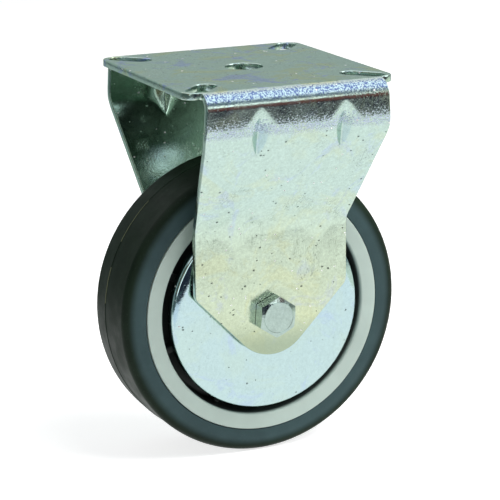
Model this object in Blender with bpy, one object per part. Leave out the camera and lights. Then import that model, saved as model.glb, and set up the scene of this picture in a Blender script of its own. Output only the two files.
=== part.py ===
"""Fixed castor with a 125 mm wheel.

One folded sheet makes the top plate and both legs. Between the legs a bolt carries
the wheel on two ball bearings, with a pressed thread guard on each side.

Frame: metres, +Z up. X is the rolling direction and Y is the axle. The origin lies on the
floor under the middle of the wheel.
"""

import math

import bmesh
import bpy
from mathutils import Matrix, Vector
from mathutils.geometry import delaunay_2d_cdt

MM = 0.001

# Fits
SEAT = 0.3 * MM                  # gap left between two faces that bear on each other
RADIAL_FIT = 0.15 * MM           # gap left between a shaft and the bore it sits in

# Wheel: tyre and plastic centre
WHEEL_RADIUS = 62.5 * MM
TYRE_HEIGHT = 10.3 * MM          # from the rim's edge to the tread
TREAD_WIDTH = 32.0 * MM          # between the tyre's two shoulders
TREAD_CROWN = 0.3 * MM           # fall of the tread from its middle to its shoulders
TYRE_SHOULDER = 3.4 * MM         # corner radius between tread and side
TYRE_SIDE_INSET = 0.4 * MM       # the tyre's side lies this far inside the rim's face
SEAM_OFFSET = 4.0 * MM           # mould seam's place on the tread, towards the far side
SEAM_HEIGHT = 0.25 * MM
SEAM_WIDTH = 0.8 * MM
RIM_WIDTH = 35.4 * MM
RING_WIDTH = 6.6 * MM            # the rim's visible face, measured along a radius
RING_EDGE = 0.9 * MM             # rounding of the rim's inner edge
RIM_FLANGE = 1.6 * MM            # width of the lip that holds the tyre sideways
RIM_GROOVE = 1.8 * MM            # depth of the tyre's bed below the rim's edge
RIM_DRAFT = 0.9 * MM             # the pocket narrows by this much down to the web
WEB_THICKNESS = 5.0 * MM
HUB_WALL = 4.4 * MM              # plastic round the bearings
HUB_SHOULDER = 2.6 * MM          # height of the stop behind each bearing
RIB_COUNT = 8
RIB_THICKNESS = 3.0 * MM
RIB_SETBACK = 11.0 * MM          # the ribs end this far inside the rim's face

# Ball bearings
BEARING_OUTER_RADIUS = 15.0 * MM
BEARING_WIDTH = 9.0 * MM
BALL_RADIUS = 2.38 * MM
BALL_COUNT = 8
BALL_PLAY = 0.15 * MM            # gap between a ball and each raceway
RACE_DEPTH = 0.85 * MM           # how deep a ball sits below a ring's shoulder
SHIELD_SHEET = 0.4 * MM
SHIELD_INSET = 0.25 * MM         # the shield lies this far inside the ring's face
SHIELD_GRIP = 0.7 * MM           # overlap of the shield and the outer ring's step
SHIELD_PLAY = 0.35 * MM          # running gap between the shield and the inner ring
CAGE_PLAY = 0.25 * MM            # running gap round the cage
CAGE_LIP = 1.0 * MM              # the cage reaches this far past the balls' middle

# Thread guards
GUARD_SHEET = 1.0 * MM
GUARD_GAP = 3.3 * MM             # radial gap between guard and rim
GUARD_STANDOFF = 3.2 * MM        # the guard's face stands proud of the rim's face
GUARD_SHOULDER = 4.6 * MM        # outside radius of the turned edge
GUARD_LIP = 6.0 * MM             # depth of the turned edge
GUARD_DISH = 3.0 * MM            # the pressed centre lies this far inside the face
GUARD_DISH_MARGIN = 0.7 * MM     # the pressed centre is wider than the spacer by this

# Axle
BOLT_RADIUS = 4.9 * MM
BOLT_TIP = 1.2 * MM              # chamfer at the thread's end
BOLT_RUN_OUT = 1.8 * MM          # thread left standing beyond the nut
HEX_ACROSS_FLATS = 15.2 * MM
HEAD_HEIGHT = 6.1 * MM
HEX_CHAMFER = 1.05 * MM           # from a flat to the edge of the round end face
HEX_CHAMFER_RISE = 0.6 * MM
HEAD_TURN = math.radians(4.4)    # where the bolt and the nut happened to stop
NUT_HEX_HEIGHT = 8.0 * MM
NUT_COLLAR_HEIGHT = 3.0 * MM
NUT_COLLAR_WALL = 0.8 * MM
NUT_COLLAR_STEP = 0.7 * MM       # the collar is smaller than the hexagon by this
NUT_LIP = 0.5 * MM               # crimped edge that holds the nylon ring
NUT_TURN = math.radians(11)
SPACER_RADIUS = 8.0 * MM
SLEEVE_WALL = 2.0 * MM
LEG_CLEARANCE = 5.3 * MM         # between the rim's face and a leg

# Bracket
SHEET = 3.0 * MM
TYRE_TO_PLATE = 34.0 * MM        # free height above the tyre
PLATE_WIDTH = 106.6 * MM         # across both legs at the plate, along Y
LEG_TOP_WIDTH = 78.6 * MM        # leg where it leaves the plate, along X
LEG_KNEE_WIDTH = 80.8 * MM       # leg at the upper knee
LEG_WIDTH = 68.4 * MM            # leg below the lower knee
EAR_OVERHANG = 6.6 * MM          # the plate's ears stand out past the leg on each side
EAR_CORNER = 5.5 * MM
EAR_RELIEF = 0.8 * MM            # rounding where an ear meets the bend
PLATE_BEND = 5.5 * MM            # bend radii are those of the sheet's middle
UPPER_KNEE_DROP = 17.0 * MM      # from the plate's middle surface to the upper knee's corner
UPPER_KNEE_BEND = 17.0 * MM
LOWER_KNEE_RISE = 37.9 * MM      # from the axle to the lower knee's corner
LOWER_KNEE_BEND = 12.0 * MM
LEG_KNEE_ROUNDING = 14.0 * MM    # outline radii of the leg's edge at its knees
LEG_CORNER = 4.0 * MM
LEG_CORNER_RISE = 10.0 * MM      # from the axle up to where the pointed end begins
TIP_RADIUS = 17.5 * MM           # round end of the leg, about the axle
SLOT_EDGE_INSET = 10.5 * MM      # from the plate's edge to a slot's middle, along X
SLOT_BEND_INSET = 8.7 * MM       # from the start of the plate's bend to it, along Y
SLOT_LENGTH = 19.0 * MM
SLOT_WIDTH = 9.1 * MM
PLATE_HOLE_RADIUS = 7.85 * MM
DART_SPACING = 37.0 * MM         # between the two darts, and the two ribs, of a leg
DART_SHIFT = 1.9 * MM            # the pairs sit this far off the middle, along X
DART_REACH_UP = 10.6 * MM        # along the sheet from the upper knee's corner
DART_REACH_DOWN = 9.6 * MM
RIB_REACH_UP = 10.2 * MM         # along the sheet from the lower knee's corner
RIB_REACH_DOWN = 8.8 * MM
DART_HALF_WIDTH = 5.6 * MM       # at its deepest

# Where things lie
AXLE_Z = WHEEL_RADIUS
RIM_RADIUS = WHEEL_RADIUS - TYRE_HEIGHT
RIM_HALF = RIM_WIDTH / 2
POCKET_RADIUS = RIM_RADIUS - RING_WIDTH
GUARD_RADIUS = POCKET_RADIUS - GUARD_GAP
GUARD_FACE = RIM_HALF + GUARD_STANDOFF
GUARD_CENTRE = GUARD_FACE - GUARD_DISH
BEARING_FACE = GUARD_CENTRE - GUARD_SHEET - SEAT
BEARING_MIDDLE = BEARING_FACE - BEARING_WIDTH / 2
BEARING_BACK = BEARING_FACE - BEARING_WIDTH
BORE_RADIUS = BOLT_RADIUS + RADIAL_FIT
HUB_BORE = BEARING_OUTER_RADIUS + RADIAL_FIT
HUB_RADIUS = HUB_BORE + HUB_WALL
LEG_INNER = RIM_HALF + LEG_CLEARANCE
LEG_OUTER = LEG_INNER + SHEET
PLATE_TOP_Z = AXLE_Z + WHEEL_RADIUS + TYRE_TO_PLATE + SHEET
PLATE_HALF_LENGTH = LEG_TOP_WIDTH / 2 + EAR_OVERHANG
PLATE_HALF_FLAT = PLATE_WIDTH / 2 - SHEET / 2 - PLATE_BEND
SLOT_X = PLATE_HALF_LENGTH - SLOT_EDGE_INSET
SLOT_Y = PLATE_HALF_FLAT - SLOT_BEND_INSET

# Fineness of the round shapes
ARC_STEP = math.radians(24)
BEND_STEP = math.radians(15)
WHEEL_SEGMENTS = 40
BEARING_SEGMENTS = 28
SMALL_SEGMENTS = 24
RACE_STEPS = 3
POCKET_SEGMENTS = 12


def clear_scene():
    """Removes whatever the scene holds, so the script can be run again."""
    for obj in list(bpy.data.objects):
        bpy.data.objects.remove(obj, do_unlink=True)


def finish(name, colour, roughness, metallic):
    """Returns a plain Principled material."""
    mat = bpy.data.materials.new(name)
    mat.use_nodes = True
    shader = mat.node_tree.nodes["Principled BSDF"]
    shader.inputs["Base Color"].default_value = (*colour, 1.0)
    shader.inputs["Roughness"].default_value = roughness
    shader.inputs["Metallic"].default_value = metallic
    mat.diffuse_color = (*colour, 1.0)
    return mat


def zinc(name):
    return finish(name, (0.70, 0.74, 0.72), 0.28, 1.0)


def bearing_steel(name):
    return finish(name, (0.52, 0.53, 0.55), 0.22, 1.0)


def make_object(name, bm, mat, parent, smooth_angle=math.radians(35)):
    """Turns a bmesh into an object whose origin is its parent's."""
    mesh = bpy.data.meshes.new(name)
    bm.to_mesh(mesh)
    bm.free()
    mesh.shade_smooth()
    mesh.set_sharp_from_angle(angle=smooth_angle)
    if mat is not None:
        mesh.materials.append(mat)
    obj = bpy.data.objects.new(name, mesh)
    bpy.context.scene.collection.objects.link(obj)
    obj.parent = parent
    return obj


def empty_at(name, location):
    """Returns an empty that carries the pieces turning, or fixed, about one point."""
    obj = bpy.data.objects.new(name, None)
    obj.location = location
    bpy.context.scene.collection.objects.link(obj)
    return obj


def cut(obj, cutter, operation):
    """Adds a Boolean with a hidden cutter."""
    cutter.hide_render = True
    cutter.display_type = "WIRE"
    boolean = obj.modifiers.new(operation.title(), "BOOLEAN")
    boolean.operation = operation
    boolean.object = cutter
    boolean.solver = "EXACT"


def rounded(corners, step=ARC_STEP, closed=True):
    """Replaces each corner (u, v, radius) of an outline with an arc of that radius."""
    points = []
    last = len(corners) - 1
    for i, (u, v, radius) in enumerate(corners):
        here = Vector((u, v))
        end = not closed and i in (0, last)
        if radius <= 0 or end:
            points.append(here)
            continue
        before = Vector(corners[i - 1][:2]) - here
        after = Vector(corners[(i + 1) % len(corners)][:2]) - here
        opening = before.angle(after)
        reach = radius / math.tan(opening / 2)
        centre_way = before.normalized() + after.normalized()
        centre = here + centre_way.normalized() * (radius / math.sin(opening / 2))
        start = here + before.normalized() * reach - centre
        stop = here + after.normalized() * reach - centre
        turn = start.angle_signed(stop)
        count = max(1, math.ceil(abs(turn) / step))
        for k in range(count + 1):
            points.append(centre + Matrix.Rotation(-turn * k / count, 2) @ start)
    return points


def turned(outline, segments):
    """Spins an outline of (radius, distance along the axle) about the Y axis.

    An outline that starts and ends on the axis makes a solid piece, any other a ring.
    """
    bm = bmesh.new()
    verts = [bm.verts.new((r, y, 0)) for r, y in outline]
    solid = outline[0][0] == 0 and outline[-1][0] == 0
    pairs = list(zip(verts, verts[1:]))
    if not solid:
        pairs.append((verts[-1], verts[0]))
    edges = [bm.edges.new(pair) for pair in pairs]
    bmesh.ops.spin(bm, geom=verts + edges, cent=(0, 0, 0), axis=(0, 1, 0),
                   angle=math.tau, steps=segments, use_merge=True)
    bmesh.ops.remove_doubles(bm, verts=bm.verts, dist=0.001 * MM)
    bmesh.ops.recalc_face_normals(bm, faces=bm.faces)
    return bm


def mirrored_y(bm):
    """Turns a piece made for the far side into the one for the near side."""
    bmesh.ops.scale(bm, verts=bm.verts, vec=(1, -1, 1))
    bmesh.ops.reverse_faces(bm, faces=bm.faces)
    return bm


def side(bm, sign):
    return bm if sign > 0 else mirrored_y(bm)


def moved_y(bm, distance):
    bmesh.ops.translate(bm, verts=bm.verts, vec=(0, distance, 0))
    return bm


# Wheel

def tyre(parent):
    """Soft tyre: crowned tread with its mould seam, round shoulders, bed between flanges."""
    face = RIM_HALF - TYRE_SIDE_INSET
    shoulder_r = WHEEL_RADIUS - TREAD_CROWN
    bed = RIM_RADIUS - RIM_GROOVE + SEAT
    flange_in = RIM_HALF - RIM_FLANGE - SEAT
    seam = [(WHEEL_RADIUS - SEAM_HEIGHT, SEAM_OFFSET + SEAM_WIDTH / 2, 0),
            (WHEEL_RADIUS, SEAM_OFFSET, 0),
            (WHEEL_RADIUS - SEAM_HEIGHT, SEAM_OFFSET - SEAM_WIDTH / 2, 0)]
    side_r = RIM_RADIUS + SEAT
    half = TREAD_WIDTH / 2
    corners = [(side_r, face, 0), (shoulder_r, half, TYRE_SHOULDER), *seam,
               (shoulder_r, -half, TYRE_SHOULDER), (side_r, -face, 0),
               (side_r, -flange_in, 0), (bed, -flange_in, 0),
               (bed, flange_in, 0), (side_r, flange_in, 0)]
    rubber = finish("tyre_rubber", (0.075, 0.085, 0.085), 0.62, 0.0)
    return make_object("tyre", turned(rounded(corners), WHEEL_SEGMENTS), rubber, parent)


def wheel_centre(parent):
    """Plastic centre in one moulding: rim, web, ribs and a hub with two bearing seats."""
    bed = RIM_RADIUS - RIM_GROOVE
    flange_in = RIM_HALF - RIM_FLANGE
    web = WEB_THICKNESS / 2
    pocket_floor = POCKET_RADIUS - RIM_DRAFT
    seat_end = BEARING_BACK - SEAT
    half = [(bed, flange_in, 0), (RIM_RADIUS, flange_in, 0),
            (RIM_RADIUS, RIM_HALF, 0), (POCKET_RADIUS, RIM_HALF, RING_EDGE),
            (pocket_floor, web, 0), (HUB_RADIUS, web, 0), (HUB_RADIUS, BEARING_FACE, 0),
            (HUB_BORE, BEARING_FACE, 0), (HUB_BORE, seat_end, 0),
            (HUB_BORE - HUB_SHOULDER, seat_end, 0)]
    other = [(r, -y, radius) for r, y, radius in reversed(half)]
    plastic = finish("wheel_centre_plastic", (0.50, 0.55, 0.52), 0.45, 0.0)
    outline = rounded([*half, *other], math.radians(45))
    body = make_object("wheel_centre", turned(outline, WHEEL_SEGMENTS), plastic, parent)
    cut(body, wheel_ribs(parent), "UNION")
    return body


def wheel_ribs(parent):
    """Radial ribs from the hub to the rim on both sides of the web."""
    sunk = HUB_WALL / 2
    inner = HUB_RADIUS - sunk
    outer = POCKET_RADIUS - RIM_DRAFT + sunk
    height = 2 * (RIM_HALF - RIB_SETBACK)
    bm = bmesh.new()
    for i in range(RIB_COUNT):
        size = Matrix.Diagonal((outer - inner, height, RIB_THICKNESS, 1))
        place = Matrix.Translation(((outer + inner) / 2, 0, 0))
        turn = Matrix.Rotation(math.tau * (i + 0.5) / RIB_COUNT, 4, "Y")
        bmesh.ops.create_cube(bm, size=1, matrix=turn @ place @ size)
    return make_object("wheel_ribs_guide", bm, None, parent)


# Ball bearings

def race(shoulder, groove, sign):
    """Points of a raceway across a ring: from its shoulder down into the groove and back."""
    angle = math.acos(1 - RACE_DEPTH / groove)
    points = []
    for k in range(RACE_STEPS + 1):
        a = angle * (2 * k / RACE_STEPS - 1)
        depth = groove * (math.cos(a) - math.cos(angle))
        points.append((shoulder + sign * depth, groove * math.sin(a)))
    return points


def bearing_sizes():
    """Radii that follow from the bore, the outside and the balls."""
    pitch = (BORE_RADIUS + BEARING_OUTER_RADIUS) / 2
    groove = BALL_RADIUS + BALL_PLAY
    inner_shoulder = pitch - groove + RACE_DEPTH
    outer_shoulder = pitch + groove - RACE_DEPTH
    return pitch, groove, inner_shoulder, outer_shoulder


def bearing_inner_ring(name, mat, parent, sign):
    _, groove, shoulder, _ = bearing_sizes()
    half = BEARING_WIDTH / 2
    outline = [(BORE_RADIUS, half), (BORE_RADIUS, -half), (shoulder, -half),
               *race(shoulder, groove, -1), (shoulder, half)]
    bm = moved_y(turned(outline, BEARING_SEGMENTS), BEARING_MIDDLE)
    return make_object(name, side(bm, sign), mat, parent)


def bearing_outer_ring(name, mat, parent, sign):
    _, groove, _, shoulder = bearing_sizes()
    half = BEARING_WIDTH / 2
    seat = half - SHIELD_INSET - SHIELD_SHEET - RADIAL_FIT
    open_r = shoulder + SHIELD_GRIP
    outline = [(BEARING_OUTER_RADIUS, -half), (BEARING_OUTER_RADIUS, half), (open_r, half),
               (open_r, seat), (shoulder, seat), *reversed(race(shoulder, groove, 1)),
               (shoulder, -seat), (open_r, -seat), (open_r, -half)]
    bm = moved_y(turned(outline, BEARING_SEGMENTS), BEARING_MIDDLE)
    return make_object(name, side(bm, sign), mat, parent)


def bearing_shield(name, mat, parent, sign, facing):
    """Thin ring snapped into the outer ring, clear of the inner one."""
    _, _, inner_shoulder, outer_shoulder = bearing_sizes()
    outer = outer_shoulder + SHIELD_GRIP - RADIAL_FIT
    inner = inner_shoulder + SHIELD_PLAY
    face = BEARING_WIDTH / 2 - SHIELD_INSET
    outline = [(outer, face), (inner, face), (inner, face - SHIELD_SHEET), (outer, face - SHIELD_SHEET)]
    bm = turned(outline, SMALL_SEGMENTS)
    if facing < 0:
        mirrored_y(bm)
    return make_object(name, side(moved_y(bm, BEARING_MIDDLE), sign), mat, parent)


def ball_places():
    pitch = bearing_sizes()[0]
    for i in range(BALL_COUNT):
        angle = math.tau * i / BALL_COUNT
        yield Vector((pitch * math.cos(angle), BEARING_MIDDLE, pitch * math.sin(angle)))


def bearing_cage(name, mat, parent, sign):
    """Crown cage: a ring behind the balls with a pocket open to the front for each."""
    _, _, inner_shoulder, outer_shoulder = bearing_sizes()
    back = BEARING_WIDTH / 2 - SHIELD_INSET - SHIELD_SHEET - CAGE_PLAY
    outline = [(outer_shoulder - CAGE_PLAY, -back), (outer_shoulder - CAGE_PLAY, CAGE_LIP),
               (inner_shoulder + CAGE_PLAY, CAGE_LIP), (inner_shoulder + CAGE_PLAY, -back)]
    bm = moved_y(turned(outline, BEARING_SEGMENTS), BEARING_MIDDLE)
    cage = make_object(name, side(bm, sign), mat, parent)
    pockets = bmesh.new()
    pocket_radius = BALL_RADIUS + BALL_PLAY + CAGE_PLAY
    for i, place in enumerate(ball_places()):
        where = Matrix.Translation((place.x, sign * place.y, place.z))
        outwards = Matrix.Rotation(math.pi / 2 - math.tau * i / BALL_COUNT, 4, "Y")
        bmesh.ops.create_cone(pockets, cap_ends=True, segments=POCKET_SEGMENTS,
                              radius1=pocket_radius, radius2=pocket_radius,
                              depth=4 * BALL_RADIUS, matrix=where @ outwards)
    cut(cage, make_object(name + "_pockets_guide", pockets, None, parent), "DIFFERENCE")
    return cage


def bearing_balls(prefix, mat, parent, sign):
    """The balls share one mesh; each has its own place on the pitch circle."""
    bm = bmesh.new()
    bmesh.ops.create_icosphere(bm, subdivisions=2, radius=BALL_RADIUS)
    first = make_object(prefix + "_ball_1", bm, mat, parent, math.radians(80))
    for i, place in enumerate(ball_places()):
        ball = first
        if i:
            ball = bpy.data.objects.new(f"{prefix}_ball_{i + 1}", first.data)
            bpy.context.scene.collection.objects.link(ball)
            ball.parent = parent
        ball.location = (place.x, sign * place.y, place.z)


def bearing(prefix, sign, fork, wheel, ball_set):
    steel = bearing_steel(prefix + "_bearing_steel")
    pressed = zinc(prefix + "_shield_steel")
    nylon = finish(prefix + "_cage_nylon", (0.55, 0.45, 0.28), 0.5, 0.0)
    bearing_inner_ring(prefix + "_bearing_inner_ring", steel, fork, sign)
    bearing_outer_ring(prefix + "_bearing_outer_ring", steel, wheel, sign)
    bearing_shield(prefix + "_bearing_outer_shield", pressed, wheel, sign, 1)
    bearing_shield(prefix + "_bearing_inner_shield", pressed, wheel, sign, -1)
    bearing_cage(prefix + "_ball_cage", nylon, ball_set, sign)
    bearing_balls(prefix, steel, ball_set, sign)


# Thread guards and axle

def thread_guard(name, parent, sign):
    """Pressed disc: dished centre on the inner ring, flat face, edge turned into the rim."""
    dish = SPACER_RADIUS + GUARD_DISH_MARGIN
    slope_end = dish + GUARD_DISH
    inside = GUARD_RADIUS - GUARD_SHEET
    back = GUARD_FACE - GUARD_SHEET
    lip_end = GUARD_FACE - GUARD_LIP
    corners = [(BORE_RADIUS, GUARD_CENTRE, 0), (dish, GUARD_CENTRE, 0), (slope_end, GUARD_FACE, 0),
               (GUARD_RADIUS, GUARD_FACE, GUARD_SHOULDER), (GUARD_RADIUS, lip_end, 0),
               (inside, lip_end, 0), (inside, back, GUARD_SHOULDER - GUARD_SHEET),
               (slope_end, back, 0), (dish, GUARD_CENTRE - GUARD_SHEET, 0),
               (BORE_RADIUS, GUARD_CENTRE - GUARD_SHEET, 0)]
    bm = turned(rounded(corners, math.radians(45)), WHEEL_SEGMENTS)
    return make_object(name, side(bm, sign), zinc(name + "_zinc"), parent)


def tube(name, outer, start, stop, mat, parent, sign=1):
    """Plain turned ring on the bolt."""
    outline = [(outer, start), (outer, stop), (BORE_RADIUS, stop), (BORE_RADIUS, start)]
    return make_object(name, side(turned(outline, SMALL_SEGMENTS), sign), mat, parent)


def hex_guide(name, parent, turn):
    """Long hexagonal bar that trims a turned blank to its flats; a corner points up."""
    bm = bmesh.new()
    corner = HEX_ACROSS_FLATS / 2 / math.cos(math.pi / 6)
    upright = Matrix.Rotation(math.pi / 2, 4, "X")
    bmesh.ops.create_cone(bm, cap_ends=True, segments=6, radius1=corner, radius2=corner,
                          depth=4 * PLATE_WIDTH, matrix=upright)
    guide = make_object(name, bm, None, parent)
    guide.rotation_euler = (0, turn, 0)
    return guide


def axle_bolt(parent):
    """Hexagon bolt: chamfered head on the near leg, shank through to the far nut."""
    head_seat = -LEG_OUTER - SEAT
    top = head_seat - HEAD_HEIGHT
    end = LEG_OUTER + SEAT + NUT_HEX_HEIGHT + NUT_COLLAR_HEIGHT + BOLT_RUN_OUT
    corner = HEX_ACROSS_FLATS / 2 / math.cos(math.pi / 6) + RADIAL_FIT
    flat_circle = HEX_ACROSS_FLATS / 2 - HEX_CHAMFER
    rise = HEX_CHAMFER_RISE * (corner - flat_circle) / HEX_CHAMFER
    outline = [(0, top), (flat_circle, top), (corner, top + rise), (corner, head_seat),
               (BOLT_RADIUS, head_seat), (BOLT_RADIUS, end - BOLT_TIP),
               (BOLT_RADIUS - BOLT_TIP, end), (0, end)]
    mat = zinc("axle_bolt_zinc")
    bolt = make_object("axle_bolt", turned(outline, SMALL_SEGMENTS), mat, parent)
    cut(bolt, hex_guide("bolt_hexagon_guide", parent, HEAD_TURN), "INTERSECT")
    return bolt


def lock_nut(parent):
    """Hexagon nut with a collar crimped over a nylon ring."""
    base = LEG_OUTER + SEAT
    hex_top = base + NUT_HEX_HEIGHT
    end = hex_top + NUT_COLLAR_HEIGHT
    corner = HEX_ACROSS_FLATS / 2 / math.cos(math.pi / 6) + RADIAL_FIT
    flat_circle = HEX_ACROSS_FLATS / 2 - HEX_CHAMFER
    rise = HEX_CHAMFER_RISE * (corner - flat_circle) / HEX_CHAMFER
    collar = HEX_ACROSS_FLATS / 2 - NUT_COLLAR_STEP
    pocket = collar - NUT_COLLAR_WALL
    mouth = (pocket + BORE_RADIUS) / 2
    outline = [(BORE_RADIUS, base), (flat_circle, base), (corner, base + rise),
               (corner, hex_top - rise), (collar, hex_top), (collar, end - NUT_LIP),
               (collar - NUT_LIP, end), (mouth, end), (mouth, end - NUT_LIP),
               (pocket, end - NUT_LIP), (pocket, hex_top), (BORE_RADIUS, hex_top)]
    nut = make_object("lock_nut", turned(outline, SMALL_SEGMENTS), zinc("lock_nut_zinc"), parent)
    cut(nut, hex_guide("nut_hexagon_guide", parent, NUT_TURN), "INTERSECT")
    ring = (pocket - RADIAL_FIT, hex_top + RADIAL_FIT, end - NUT_LIP - RADIAL_FIT)
    nylon = finish("nut_ring_nylon", (0.10, 0.22, 0.45), 0.5, 0.0)
    tube("nut_nylon_ring", *ring, nylon, parent)
    return nut


def spacers(parent):
    """Sleeve between the inner rings and a spacer between each guard and its leg."""
    steel = zinc("spacer_zinc")
    tube("axle_sleeve", BOLT_RADIUS + SLEEVE_WALL, -(BEARING_BACK - SEAT), BEARING_BACK - SEAT, steel, parent)
    for name, sign in (("near_spacer", -1), ("far_spacer", 1)):
        tube(name, SPACER_RADIUS, GUARD_CENTRE + SEAT, LEG_INNER - SEAT, steel, parent, sign)


# Bracket

class SheetRun:
    """The sheet's middle surface from the plate's centre line to a leg's tip, seen along X.

    Corner points and bend radii give straight runs and arcs. A place on the sheet is a
    distance s along this line and a height n above the middle surface, towards the outside.
    """

    def __init__(self, corners, radii):
        self.runs = []
        self.corner_s = []
        s = 0.0
        here = Vector(corners[0])
        for i, radius in enumerate(radii):
            corner = Vector(corners[i + 1])
            way_in = (corner - Vector(corners[i])).normalized()
            way_out = (Vector(corners[i + 2]) - corner).normalized()
            turn = -way_in.angle_signed(way_out)
            reach = radius * math.tan(abs(turn) / 2)
            bend_start = corner - way_in * reach
            s = self.add_straight(s, here, bend_start, way_in)
            self.runs.append((s, radius * abs(turn), bend_start, way_in, turn, radius))
            self.corner_s.append(s + radius * abs(turn) / 2)
            s += radius * abs(turn)
            here = corner + way_out * reach
        last = Vector(corners[-1])
        self.length = self.add_straight(s, here, last, (last - here).normalized())

    def add_straight(self, s, start, stop, way):
        length = (stop - start).length
        self.runs.append((s, length, start, way, 0.0, 0.0))
        return s + length

    def bend_lines(self, step):
        """Distances s at which the flat blank needs an edge: the facets of every bend."""
        lines = []
        for s, length, _, _, turn, _ in self.runs:
            if turn:
                count = math.ceil(abs(turn) / step)
                lines += [s + length * k / count for k in range(count + 1)]
        return lines

    def place(self, s, n):
        """Returns (y, z) of a place on the far half of the sheet."""
        s0, _, start, way, turn, radius = [run for run in self.runs if run[0] <= s + 1e-9][-1]
        if not turn:
            normal = Vector((-way.y, way.x))
            return start + way * (s - s0) + normal * n
        angle = math.copysign((s - s0) / radius, turn)
        heading = Matrix.Rotation(angle, 2) @ way
        first_normal = Vector((-way.y, way.x))
        normal = Vector((-heading.y, heading.x))
        hand = math.copysign(1, turn)
        centre = start + first_normal * (radius * hand)
        return centre - normal * (radius * hand - n)


def bracket_run():
    """The folded line of the bracket: plate, upper knee, lower knee, tip."""
    plate_z = PLATE_TOP_Z - SHEET / 2
    upper_y = PLATE_WIDTH / 2 - SHEET / 2
    lower_y = LEG_INNER + SHEET / 2
    corners = [(0, plate_z), (upper_y, plate_z), (upper_y, plate_z - UPPER_KNEE_DROP),
               (lower_y, AXLE_Z + LOWER_KNEE_RISE), (lower_y, AXLE_Z - TIP_RADIUS)]
    return SheetRun(corners, (PLATE_BEND, UPPER_KNEE_BEND, LOWER_KNEE_BEND))


class Crease:
    """A straight wedge pressed across a knee at x, cutting its corner from s0 to s1."""

    def __init__(self, run, x, s0, s1):
        self.run = run
        self.x = x
        self.s0 = s0
        self.s1 = s1
        self.start = run.place(s0, 0)
        self.way = (run.place(s1, 0) - self.start).normalized()
        deepest = max(abs(self.ridge(s0 + (s1 - s0) * k / 24)) for k in range(25))
        self.slope = deepest / DART_HALF_WIDTH

    def ridge(self, s):
        """How far the wedge's ridge lies below (or above) the sheet at s."""
        if not self.s0 < s < self.s1:
            return 0.0
        offset = self.run.place(s, 0) - self.start
        normal = self.run.place(s, 1) - self.run.place(s, 0)
        side_way = Vector((-self.way.y, self.way.x))
        return -offset.dot(side_way) / normal.dot(side_way)

    def height(self, x, s):
        """Offset of the sheet at (x, s): the ridge less the wedge's slope."""
        top = self.ridge(s)
        rest = abs(top) - self.slope * abs(x - self.x)
        return math.copysign(max(0.0, rest), top)

    def lines(self, stations):
        """Edges of the wedge on the flat blank: its ridge and its two borders."""
        inside = [s for s in stations if self.s0 < s < self.s1]
        rows = [self.s0, *inside, self.s1]
        middle = [(self.x, s) for s in rows]
        left = [(self.x - abs(self.ridge(s)) / self.slope, s) for s in rows]
        right = [(self.x + abs(self.ridge(s)) / self.slope, s) for s in rows]
        return [middle, left, right]


def bracket_creases(run):
    """Two darts pressed in across the upper knee and two ribs across the lower one."""
    _, upper, lower = run.corner_s
    creases = []
    for x in (DART_SHIFT - DART_SPACING / 2, DART_SHIFT + DART_SPACING / 2):
        creases.append(Crease(run, x, upper - DART_REACH_UP, upper + DART_REACH_DOWN))
        creases.append(Crease(run, x, lower - RIB_REACH_UP, lower + RIB_REACH_DOWN))
    return creases


def leg_outline(run):
    """Right-hand outline of the flat blank from the plate's centre line to the tip."""
    ear_end = PLATE_HALF_FLAT + SEAT
    axle_s = run.length - TIP_RADIUS
    corner_s = axle_s - LEG_CORNER_RISE
    half = LEG_WIDTH / 2
    reach = math.hypot(half, LEG_CORNER_RISE)
    normal = math.atan2(LEG_CORNER_RISE, half) - math.acos(TIP_RADIUS / reach)
    apex_s = axle_s - TIP_RADIUS / math.sin(normal)
    top = LEG_TOP_WIDTH / 2
    ear = PLATE_HALF_LENGTH
    corners = [(ear, 0, 0), (ear, ear_end, EAR_CORNER), (top, ear_end, EAR_RELIEF),
               (LEG_KNEE_WIDTH / 2, run.corner_s[1], LEG_KNEE_ROUNDING),
               (half, run.corner_s[2], LEG_KNEE_ROUNDING), (half, corner_s, LEG_CORNER),
               (0, apex_s, TIP_RADIUS), (-half, corner_s, 0)]
    points = rounded(corners, math.radians(12), closed=False)[1:-1]
    return [(x, s) for x, s in points if x > 1e-6], axle_s


def loop_points(cx, cy, half_length, radius, angle, count):
    """A round-ended slot, or a circle where half_length is 0."""
    way = Matrix.Rotation(angle, 2)
    points = []
    for k in range(count):
        a = math.tau * (k + 0.5) / count
        shift = math.copysign(half_length, math.cos(a))
        points.append(Vector((cx, cy)) + way @ Vector((radius * math.cos(a) + shift, radius * math.sin(a))))
    return [tuple(p) for p in points]


def blank_loops(run):
    """Outline and holes of the flat blank, as lists of (x, s)."""
    quarter, axle_s = leg_outline(run)
    right = [(x, -s) for x, s in reversed(quarter)] + quarter
    outline = right + [(-x, -s) for x, s in right]
    slope = math.atan2(SLOT_Y, SLOT_X)
    half_slot = (SLOT_LENGTH - SLOT_WIDTH) / 2
    holes = [loop_points(0, 0, 0, PLATE_HOLE_RADIUS, 0, SMALL_SEGMENTS)]
    for x_sign in (1, -1):
        for y_sign in (1, -1):
            holes.append(loop_points(x_sign * SLOT_X, y_sign * SLOT_Y, half_slot,
                                     SLOT_WIDTH / 2, x_sign * y_sign * slope, 24))
    for y_sign in (1, -1):
        holes.append(loop_points(0, y_sign * axle_s, 0, BORE_RADIUS, 0, SMALL_SEGMENTS))
    return outline, holes


def inside_loop(point, loop):
    """Even-odd test of a point against a closed outline."""
    x, s = point
    hit = False
    for (x0, s0), (x1, s1) in zip(loop, loop[1:] + loop[:1]):
        if (s0 > s) != (s1 > s) and x < x0 + (s - s0) * (x1 - x0) / (s1 - s0):
            hit = not hit
    return hit


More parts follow.
